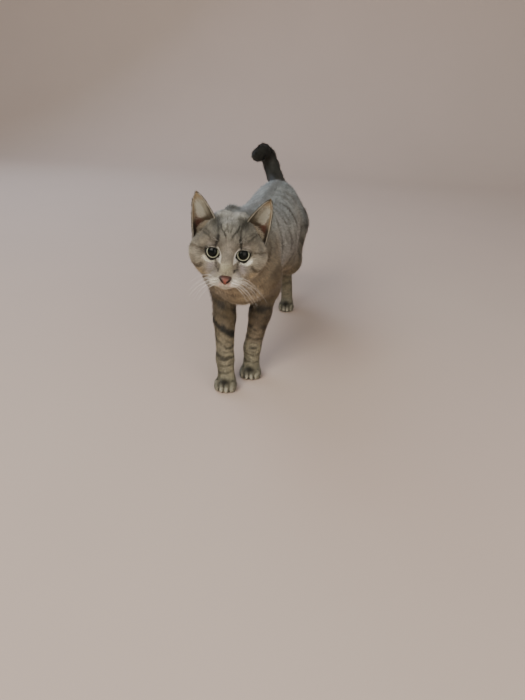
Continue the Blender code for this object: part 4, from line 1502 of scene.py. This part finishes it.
@dataclass
class Fleece:
    """The tufts over the skin."""

    skin: Skin
    seed: int = 7
    most: int = 98_000  # tufts in a piece, each of two triangles
    sunk: float = 0.25  # how deep a root is under the skin
    strays: float = 0.06  # the share of tufts that stand off, and how much further
    stray_lift: float = 1.7
    ticked: float = 0.34  # the share of dark tips
    turn: float = 0.20  # the spreads of a tuft's turn and twist, in radians, and of its shade
    twist: float = 0.55
    shade: float = 0.085

    def scatter(self, rng: np.random.Generator) -> tuple[Array, Array]:
        """Even random places on the skin, as many to a face as its area and the coat's density ask for.

        Returns:
            The three corners of each place's face, and their weights.
        """
        triangles, points = self.skin.triangles, self.skin.points
        a, b, c = points[triangles].transpose(1, 0, 2)
        area = 0.5 * np.linalg.norm(np.cross(b - a, c - a), axis=1)
        total = np.cumsum(area * self.skin.coat.density[triangles].mean(axis=1))
        marks = np.arange(int(total[-1])) + rng.random(int(total[-1]))
        face = np.minimum(np.searchsorted(total, marks), len(triangles) - 1)
        first, second = np.sqrt(rng.random(len(face))), rng.random(len(face))
        weights = np.stack([1.0 - first, first * (1.0 - second), first * second], axis=1)
        return triangles[face], weights

    def grow(self) -> tuple[Tufts, Array]:
        """Every tuft of the body, and the number of the Part that each grows on.

        A tuft leaves the skin along the coat's flow, turned a little this way and that, and lies down towards
        its tip. Middle and tip are drawn to their own depths under the outline, so that it follows the body.
        """
        rng = np.random.default_rng(self.seed)
        corners, weights = self.scatter(rng)
        count, body = len(corners), self.skin.body
        root = (self.skin.points[corners] * weights[..., None]).sum(axis=1)
        normal = unit((self.skin.normals[corners] * weights[..., None]).sum(axis=1))
        coat = self.skin.coat.at(corners, weights)
        flow = unit(coat.flow + 0.16 * np.stack([grain(root, 9.0, 90 + axis) for axis in range(3)], axis=1))
        sideways = unit(np.cross(normal, flow))
        flow = unit(flow + sideways * rng.normal(0.0, self.turn, count)[:, None])
        length = coat.length * rng.uniform(0.72, 1.18, count)
        across = unit(np.cross(normal, flow))
        twist = rng.normal(0.0, self.twist, count)[:, None]
        across = across * np.cos(twist) + normal * np.sin(twist)
        lift, stray = coat.depth * rng.uniform(0.6, 1.15, count), rng.random(count) < self.strays
        lift = lift * np.where(stray, self.stray_lift, 1.0)
        width = coat.width * np.where(stray, 0.8, 1.15)
        middle = root + flow * (length * 0.52)[:, None] + normal * (lift * 0.62)[:, None]
        tip = root + flow * length[:, None] + normal * lift[:, None]
        middle += normal * np.clip(-coat.depth + lift * 0.66 - body.distance(middle), -6.0, 2.0)[:, None]
        tip += normal * np.clip(-coat.depth + lift - body.distance(tip), -9.0, 3.0)[:, None]
        colour = self.skin.markings.colour(root, normal, coat.parts)
        colour = colour * (1.0 + rng.normal(0.0, self.shade, count) + 0.05 * grain(root, 4.0, 95))[:, None]
        pale = rise(0.52, 0.72, colour.mean(axis=1))
        dark_tips = (rng.random(count) < self.ticked) * (1.0 - pale)
        # painted shade: roots darker, as the coat shades itself, pale tufts less; the dark tips are the
        # coat's own ticking
        root_shade, tip_shade = 0.66 + 0.24 * pale, 1.10 - 0.42 * dark_tips
        colours = (colour * root_shade[:, None], colour, colour * tip_shade[:, None])
        tufts = Tufts(root - normal * self.sunk, middle, tip, across, width, *colours, normal, root[:, :2])
        return tufts, coat.parts.argmax(axis=1)

    def build(self, finish: Fur, tail_finish: Fur) -> None:
        """Grows the coat and makes its pieces, each with an unwrap round its own stretch of the body."""
        tufts, number = self.grow()
        part = {one: number == one.value for one in Part}
        left = tufts.root[:, 0] > 0.0
        fore = tufts.root[:, 1] < -25.0
        face = HEAD.into(tufts.root)[:, 1] < 7.0
        up, down = (0, 1, 0), (0, 0, -1)
        trunk = Cylinder((-4, -185, 180), (8, 165, 190), down)
        head = Cylinder(HEAD.out([0, 25, -46]), HEAD.out([0, 25, 44]), up)
        pieces = {
            "coat_face": (part[Part.HEAD] & face, head),
            "coat_head": (part[Part.HEAD] & ~face, head),
            "coat_neck": (part[Part.NECK], Cylinder((-4, -250, 225), (-5, -140, 140), up)),
            "coat_chest": (part[Part.TRUNK] & fore, trunk),
            "coat_flank_left": (part[Part.TRUNK] & ~fore & left, trunk),
            "coat_flank_right": (part[Part.TRUNK] & ~fore & ~left, trunk),
            "coat_tail": (part[Part.TAIL], Cylinder((8, 110, 214), (-30, 255, 250), down)),
        }
        anatomy = Anatomy()
        for side in Side:
            shoulder, seam = (side.value * 25 - 6, -140, 190), (-side.value, 0, 0)
            fore_leg = ("foreleg", shoulder, anatomy.front_toes, 20)
            legs = (fore_leg, ("hindleg", (8, 108, 190), anatomy.hind_toes, 40))
            for leg, top, toes, behind in legs:
                toe_x, toe_y = toes[side]
                chosen = part[Part[f"{leg}_{side.label}".upper()]]
                pieces[f"coat_{leg}_{side.label}"] = (chosen, Cylinder(top, (toe_x, toe_y + behind, 0), seam))
        for name, (chosen, unwrap) in pieces.items():
            some = tufts.some(chosen)
            some.flat = unwrap.flat(some.root)
            if len(some.root) > self.most:
                raise ValueError(f"{name} has {len(some.root)} tufts, over the {self.most} of a piece")
            is_tail = name == "coat_tail"
            some.piece(name, tail_finish if is_tail else finish, "tail_coat" if is_tail else "coat")


@dataclass(frozen=True)
class Tress:
    """A patch of an ear's own hair."""

    count: int
    ups: tuple  # from where to where up the ear's sheet
    acrosses: tuple
    front: float  # 1 where it grows on the front of the sheet, -1 behind
    way: tuple  # how much it lies up the sheet, towards the outer edge, and out of the surface
    length: float
    width: float
    pale: str | None = None  # a colour of its own, where it isn't the ear's

    def places(self, rng: np.random.Generator) -> tuple[Array, Array]:
        """Random places up and across, spread as the sheet's width is."""
        up = 1.0 - np.sqrt(1.0 - rng.random(self.count) * 0.985)
        up = np.where(rng.random(self.count) < 0.2, rng.random(self.count), up)
        low, high = self.ups
        return low + (high - low) * up, rng.uniform(*self.acrosses, self.count)

    def grow(self, ear: Ear, up: Array, across: Array, rng: np.random.Generator) -> Tufts:
        """Its tufts.

        Args:
            ear: the ear that they grow on.
            up: how far up its sheet each grows.
            across: how far across.
            rng: the source of chance.

        Returns:
            The tufts, their unwrap laid out as the ear's sheet, the right ear beside the left.
        """
        count = len(up)
        upward, run, normal = ear.axes(up, across)
        normal = normal * self.front
        flow = upward * self.way[0] + run * self.way[1] + normal * self.way[2]
        flow = unit(flow + rng.normal(0.0, 0.16, (count, 3)))
        length = (self.length * rng.uniform(0.7, 1.2, count))[:, None]
        root = ear.sheet(up, across) + normal * (ear.thickness * 0.35)
        middle = root + flow * (length * 0.5) + normal * (length * 0.10)
        colour = ear.colour(root, up, across, np.full(count, max(self.front, 0.0)))
        colour = colour * rng.normal(1.0, 0.09, (count, 1))
        # painted shade at the roots, as on the body's coat: root, middle and tip
        shades = (0.75, 1.0, 1.08)
        if self.pale:
            colour = paint(colour, (self.pale, np.full(count, 0.85)))
            shades = (0.8, 1.0, 1.05)
        start = 0.02 if ear.side is Side.LEFT else 0.52
        flat = np.stack([start + (across + 1.0) * 0.22, 0.02 + np.clip(up, 0, 1) * 0.9], axis=1)
        blade, width = unit(np.cross(normal, flow)), np.full(count, self.width)
        colours = [colour * shade for shade in shades]
        return Tufts(root, middle, root + flow * length, blade, width, *colours, normal, flat)


@dataclass
class EarCoat:
    """The ears' own hair: short behind and at the edge, fuzz inside, and long pale locks over the opening."""

    ears: list[Ear]
    seed: int = 21

    SHORT = (
        Tress(4600, (-0.22, 0.97), (-1.0, 1.0), -1.0, (1.0, 0.05, 0.28), 4.0, 0.50),
        Tress(3600, (-0.24, 0.97), (-1.0, 1.0), 1.0, (1.0, 0.15, 0.22), 2.6, 0.40),
    )
    EDGES = (
        Tress(900, (0.0, 0.97), (-0.98, -0.98), 1.0, (1.0, -0.55, 0.05), 1.7, 0.32),
        Tress(900, (0.0, 0.97), (0.98, 0.98), 1.0, (1.0, 0.55, 0.05), 1.7, 0.32),
    )
    LOCKS = (
        Tress(420, (0.16, 0.66), (-0.55, 0.05), 1.0, (1.0, 0.80, 0.14), 11.5, 0.36, "#bdb9a9"),
        Tress(620, (-0.10, 0.08), (-0.75, 0.55), 1.0, (0.30, 1.0, 0.30), 4.6, 0.32, "#aea48f"),
    )

    def of(self, ear: Ear, rng: np.random.Generator) -> list[Tufts]:
        """All the hair of one ear."""
        found = [tress.grow(ear, *tress.places(rng), rng) for tress in self.SHORT]
        for tress in self.EDGES:
            up = np.append(rng.random(tress.count) * tress.ups[1], rng.uniform(0.9, 0.99, 60))
            found.append(tress.grow(ear, up, np.full(len(up), tress.acrosses[0]), rng))
        return found + [tress.grow(ear, *tress.places(rng), rng) for tress in self.LOCKS]

    def build(self, finish: Fur) -> None:
        """One piece with the hair of both ears."""
        rng = np.random.default_rng(self.seed)
        hair = [tufts for ear in self.ears for tufts in self.of(ear, rng)]
        Tufts.joined(hair).piece("coat_ears", finish, "ear")


# ------------------------ nose and hairs


@dataclass(frozen=True)
class Nose:
    """The nose leather: a pad wide at the top, with a comma of a nostril each side and a groove between."""

    centre: tuple = (0.0, -25.0, -25.3)
    radii: tuple = (8.7, 5.2, 5.8)
    rows: int = 60
    columns: int = 96
    nostril: tuple = ((2.5, -1.9), (3.9, -0.9), (5.3, 0.6))
    nostril_depth: float = 2.6
    groove_depth: float = 0.55
    wing_height: float = 0.35  # of the fold round each nostril

    def build(self, finish: Leather) -> bpy.types.Object:
        """A ball, narrowed towards the bottom as the solid is, and pressed in at nostrils and groove."""
        local = ball(self.rows, self.columns)[0] * np.array(self.radii)
        local[:, 0] *= 0.76 + 0.075 * local[:, 2]
        local[:, 1] += 0.10 * local[:, 2]
        x, y, z = local.T
        nostril = line_distance(np.stack([np.abs(x), z], axis=1), self.nostril)
        front = rise(0.5, -1.5, y)
        dent = self.nostril_depth * bump(nostril, 0, 0.85) * front
        groove = self.groove_depth * bump(x, 0, 0.45) * rise(0.5, -2.0, z) * front
        local[:, 1] += dent + groove - self.wing_height * bump(nostril, 1.9, 0.8) * front
        colour = paint(
            np.tile(srgb("#5d3629"), (len(local), 1)),
            ("#8a422f", 0.85 * bump(np.hypot(x / 3.0, (z + 0.5) / 3.2), 0, 1.0)),
            ("#33231c", 0.9 * rise(3.0, 5.6, np.abs(x) + 0.25 * grain(local, 1.5, 5))),
            ("#43291f", 0.7 * rise(2.2, 4.6, z)),
            # painted shade deep in each nostril's dent
            ("#120b09", 0.95 * bump(nostril, 0, 0.8) * front),
        )
        points = HEAD.out(local + np.array(self.centre))
        mesh = new_mesh("nose_leather", points, grid_faces(self.rows, self.columns))
        set_colours(mesh, colour)
        piece = new_piece(mesh, finish.material())
        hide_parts("nose")
        return piece


@dataclass(frozen=True)
class Whiskers:
    """Whiskers in four rows on each pad, and a few over each eye, drawn thicker than real ones, to show."""

    body: Body
    radius: float = 0.21
    thinned_under: float = 26.0  # shorter hairs are thinner too
    seed: int = 5
    steps: int = 16
    spokes: int = 5

    def roots(self, side: Side) -> list[tuple[tuple, tuple, float, float]]:
        """Where each grows and which way, in the head's frame, with its length and how much it droops."""
        sign = side.value
        found = []
        for row, places in enumerate((3, 4, 4, 3)):
            for place in range(places):
                root = (sign * (8.0 + 2.8 * place + 0.4 * row), -21.0 + 1.6 * place, -24.5 - 2.6 * row)
                way = (sign * 0.92, -0.12 + 0.13 * place, 0.08 - 0.11 * row)
                found.append((root, way, 34.0 - 2.5 * row - 2.0 * abs(place - 2), 0.75))
        for place in range(3):
            root = (sign * (13.0 + 2.4 * place), -3.0, 13.0 + 0.8 * place)
            found.append((root, (sign * (0.35 + 0.2 * place), -0.55, 0.85), 16.0 - 2.5 * place, 0.25))
        return found

    def build(self, finish: Horn) -> bpy.types.Object:
        """Each is a tube that tapers along a parabola: root + length (t way + t^2 droop down)."""
        rng = np.random.default_rng(self.seed)
        ring = (np.arange(self.spokes) * 2 * math.pi / self.spokes)[:, None]
        share = np.linspace(0.0, 1.0, self.steps)[:, None]
        tubes = []
        for root, way, length, droop in self.roots(Side.LEFT) + self.roots(Side.RIGHT):
            start = self.body.settle(HEAD.out([root]), np.array([2.0]), 8)[0]
            way = unit(HEAD.turned(np.array(way)) + rng.normal(0.0, 0.05, 3))
            length = length * rng.uniform(0.88, 1.08)
            down = np.array((0.0, 0.0, -droop * rng.uniform(0.8, 1.2)))
            path = start + length * (share * way + share**2 * down)
            along = unit(way + 2.0 * share * down)
            one = unit(np.cross(along, np.array((0.0, 1.0, 0.2))))
            two = np.cross(along, one)
            thick = self.radius * min(1.0, length / self.thinned_under) * (0.2 + 1.2 * (1.0 - share) ** 2.2)
            round_it = one[:, None] * np.cos(ring) + two[:, None] * np.sin(ring)
            tubes.append((path[:, None] + thick[..., None] * round_it).reshape(-1, 3))
        faces = repeated(grid_faces(self.steps, self.spokes), len(tubes))
        mesh = new_mesh("whiskers", np.concatenate(tubes), faces)
        return new_piece(mesh, finish.material())


@dataclass(frozen=True)
class PawPads:
    """The bare pads under each paw: one to a toe and a wide one behind, flat where they stand."""

    anatomy: Anatomy
    rows: int = 12
    columns: int = 20
    floor: float = 0.05

    def pad(self, centre: tuple, radii: tuple) -> Array:
        """An ellipsoid whose underside is pressed flat by the floor."""
        upright = ball(self.rows, self.columns)[0][:, [0, 2, 1]] * np.array((1.0, 1.0, -1.0))
        points = upright * np.array(radii) + np.array(centre)
        points[:, 2] = np.maximum(points[:, 2], self.floor)
        return points

    def build(self, finish: Leather) -> bpy.types.Object:
        """All sixteen toe pads and four palm pads in one piece."""
        pads, anatomy = [], self.anatomy
        for toes, half in ((anatomy.front_toes, anatomy.front_half), (anatomy.hind_toes, anatomy.hind_half)):
            for toe_x, toe_y in toes.values():
                pads.append(self.pad((toe_x, toe_y + 22, 2.4), (half * 0.55, 6.5, 3.0)))
                for place in (-1.5, -0.5, 0.5, 1.5):
                    back = 12.0 if abs(place) > 1 else 8.5
                    pads.append(self.pad((toe_x + place * half * 0.5, toe_y + back, 2.0), (2.8, 4.0, 2.6)))
        points = np.concatenate(pads)
        mesh = new_mesh("paw_pads", points, repeated(grid_faces(self.rows, self.columns)[:, ::-1], len(pads)))
        brown = np.tile(srgb("#5d4138"), (len(points), 1))
        set_colours(mesh, paint(brown, ("#3c2a25", 0.5 + 0.5 * grain(points, 5.0, 9))))
        return new_piece(mesh, finish.material())


# ------------------------ studio


@dataclass(frozen=True)
class SoftBox:
    """A square lamp at a place in metres, aimed at another."""

    name: str
    at: tuple
    aim: tuple
    size: float
    power: float
    colour: str

    def build(self) -> None:
        """The lamp, its face turned to what it is aimed at."""
        data = bpy.data.lights.new(self.name, "AREA")
        data.shape = "SQUARE"
        data.size = self.size
        data.energy = self.power
        data.color = tuple(linear(srgb(self.colour)))
        lamp = show(bpy.data.objects.new(self.name, data))
        turned = (Vector(self.at) - Vector(self.aim)).to_track_quat("Z", "Y").to_matrix().to_4x4()
        lamp.matrix_world = Matrix.Translation(self.at) @ turned


@dataclass(frozen=True)
class Studio:
    """A pale floor that curves up behind into a wall, soft lights, and the camera."""

    camera_at: tuple = (0.1285, -0.870, 0.415)  # metres
    swing: float = 8.0  # degrees: to its left of straight along +Y, down, and round its own axis
    pitch: float = 27.0
    roll: float = 2.2
    focal: float = 540.0 / 700.0  # focal length over the frame's height
    floor_width: float = 10000.0
    floor_front: float = -4000.0
    wall: float = 2600.0  # how far behind the cat it stands
    wall_top: float = 4200.0
    curve: float = 900.0  # radius
    sky: str = "#d8dade"
    sky_strength: float = 0.55

    LIGHTS = (
        SoftBox("key", (-0.8, -1.7, 1.5), (0.0, -0.1, 0.15), 1.2, 34.0, "#fff6ea"),
        SoftBox("window", (-1.3, 1.2, 1.5), (0.0, 0.05, 0.18), 1.2, 16.0, "#d3e4ff"),
        SoftBox("fill", (1.2, -1.6, 0.7), (0.0, -0.1, 0.12), 1.4, 15.0, "#fff2e4"),
    )

    def camera(self) -> None:
        """The camera, looking a little down on the cat from in front of its left side."""
        data = bpy.data.cameras.new("camera")
        data.sensor_fit = "VERTICAL"
        data.sensor_height = 36.0
        data.lens = self.focal * data.sensor_height
        data.clip_start = 0.02
        camera = show(bpy.data.objects.new("camera", data))
        matrix = Matrix.Translation(self.camera_at)
        for angle, axis in ((self.swing, "Z"), (90.0 - self.pitch, "X"), (self.roll, "Z")):
            matrix = matrix @ Matrix.Rotation(math.radians(angle), 4, axis)
        camera.matrix_world = matrix
        bpy.context.scene.camera = camera

    def floor(self) -> None:
        """The floor's profile: flat, then a quarter circle up into the wall, drawn out sideways."""
        turn = np.linspace(0.0, math.pi / 2, 16)
        bend = self.wall - self.curve + self.curve * np.sin(turn)
        y = np.concatenate([[self.floor_front], bend, [self.wall]])
        z = np.concatenate([[0.0], self.curve - self.curve * np.cos(turn), [self.wall_top]])
        x = np.tile(np.array((-0.5, 0.5)) * self.floor_width, len(y))
        points = np.stack([x, np.repeat(y, 2), np.repeat(z, 2)], axis=1) - STAND
        mesh = new_mesh("floor", points, grid_faces(len(y), 2, closed=False))
        mesh.materials.append(Board("matt_painted_board", 0.75).material())
        show(bpy.data.objects.new("floor", mesh))

    def build(self) -> None:
        """Camera, floor, three soft boxes and an even fill."""
        self.camera()
        self.floor()
        for light in self.LIGHTS:
            light.build()
        world = bpy.data.worlds.new("studio")
        world.use_nodes = True
        sky = world.node_tree.nodes["Background"].inputs
        sky["Color"].default_value = (*linear(srgb(self.sky)), 1.0)
        sky["Strength"].default_value = self.sky_strength
        bpy.context.scene.world = world


# ------------------------ main


@dataclass
class Cat:
    """The whole cat: skin and ears in one piece, the coat, the eyes, the nose, the whiskers and the pads."""

    body: Body = field(default_factory=lambda: Body(Anatomy().masses()))
    markings: Markings = field(default_factory=Markings)

    FLESH = ("head", "neck", "trunk", "tail", "ear_left", "ear_right")
    LIMBS = ("foreleg", "front_paw", "hindleg", "hind_paw")

    def build_skin(self) -> Skin:
        """The skin of the body joined with the shells of both ears, in place of all the solids of flesh."""
        skin = Skin(self.body, self.markings)
        skin.shape()
        points, triangles, colours = skin.points, skin.triangles, skin.colours()
        for side in Side:
            shell, faces, shades = Ear(side).shell()
            triangles = np.concatenate([triangles, faces + len(points)])
            points, colours = np.concatenate([points, shell]), np.concatenate([colours, shades])
        mesh = new_mesh("skin", points, triangles)
        set_colours(mesh, colours)
        piece = new_piece(mesh, Hide("skin_and_underfur", 0.75).material())
        limbs = [f"{limb}_{side.label}" for limb in self.LIMBS for side in Side]
        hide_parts(*self.FLESH, *limbs)
        return skin

    def build(self) -> None:
        """Every piece of the cat."""
        skin = self.build_skin()
        Fleece(skin).build(Fur("short_fur", 0.62, sheen=0.15), Fur("tail_fur", 0.55, sheen=0.10))
        EarCoat([Ear(side) for side in Side]).build(Fur("ear_hair", 0.62, sheen=0.15))
        for eye in EYES:
            eye.build(Cornea(f"wet_cornea_{eye.side.label}", 0.10, ior=1.18, wet=0.14))
        Nose().build(Leather("nose_leather", 0.42, wet=0.25))
        Whiskers(self.body).build(Horn("whisker_keratin", 0.35))
        PawPads(Anatomy()).build(Leather("pad_leather", 0.6, grain_size=0.7))


def main() -> None:
    """Builds the studio and the cat."""
    logging.basicConfig(level=logging.INFO, format="%(name)s: %(message)s")
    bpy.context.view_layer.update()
    Studio().build()
    Cat().build()


if __name__ == "__main__":
    main()
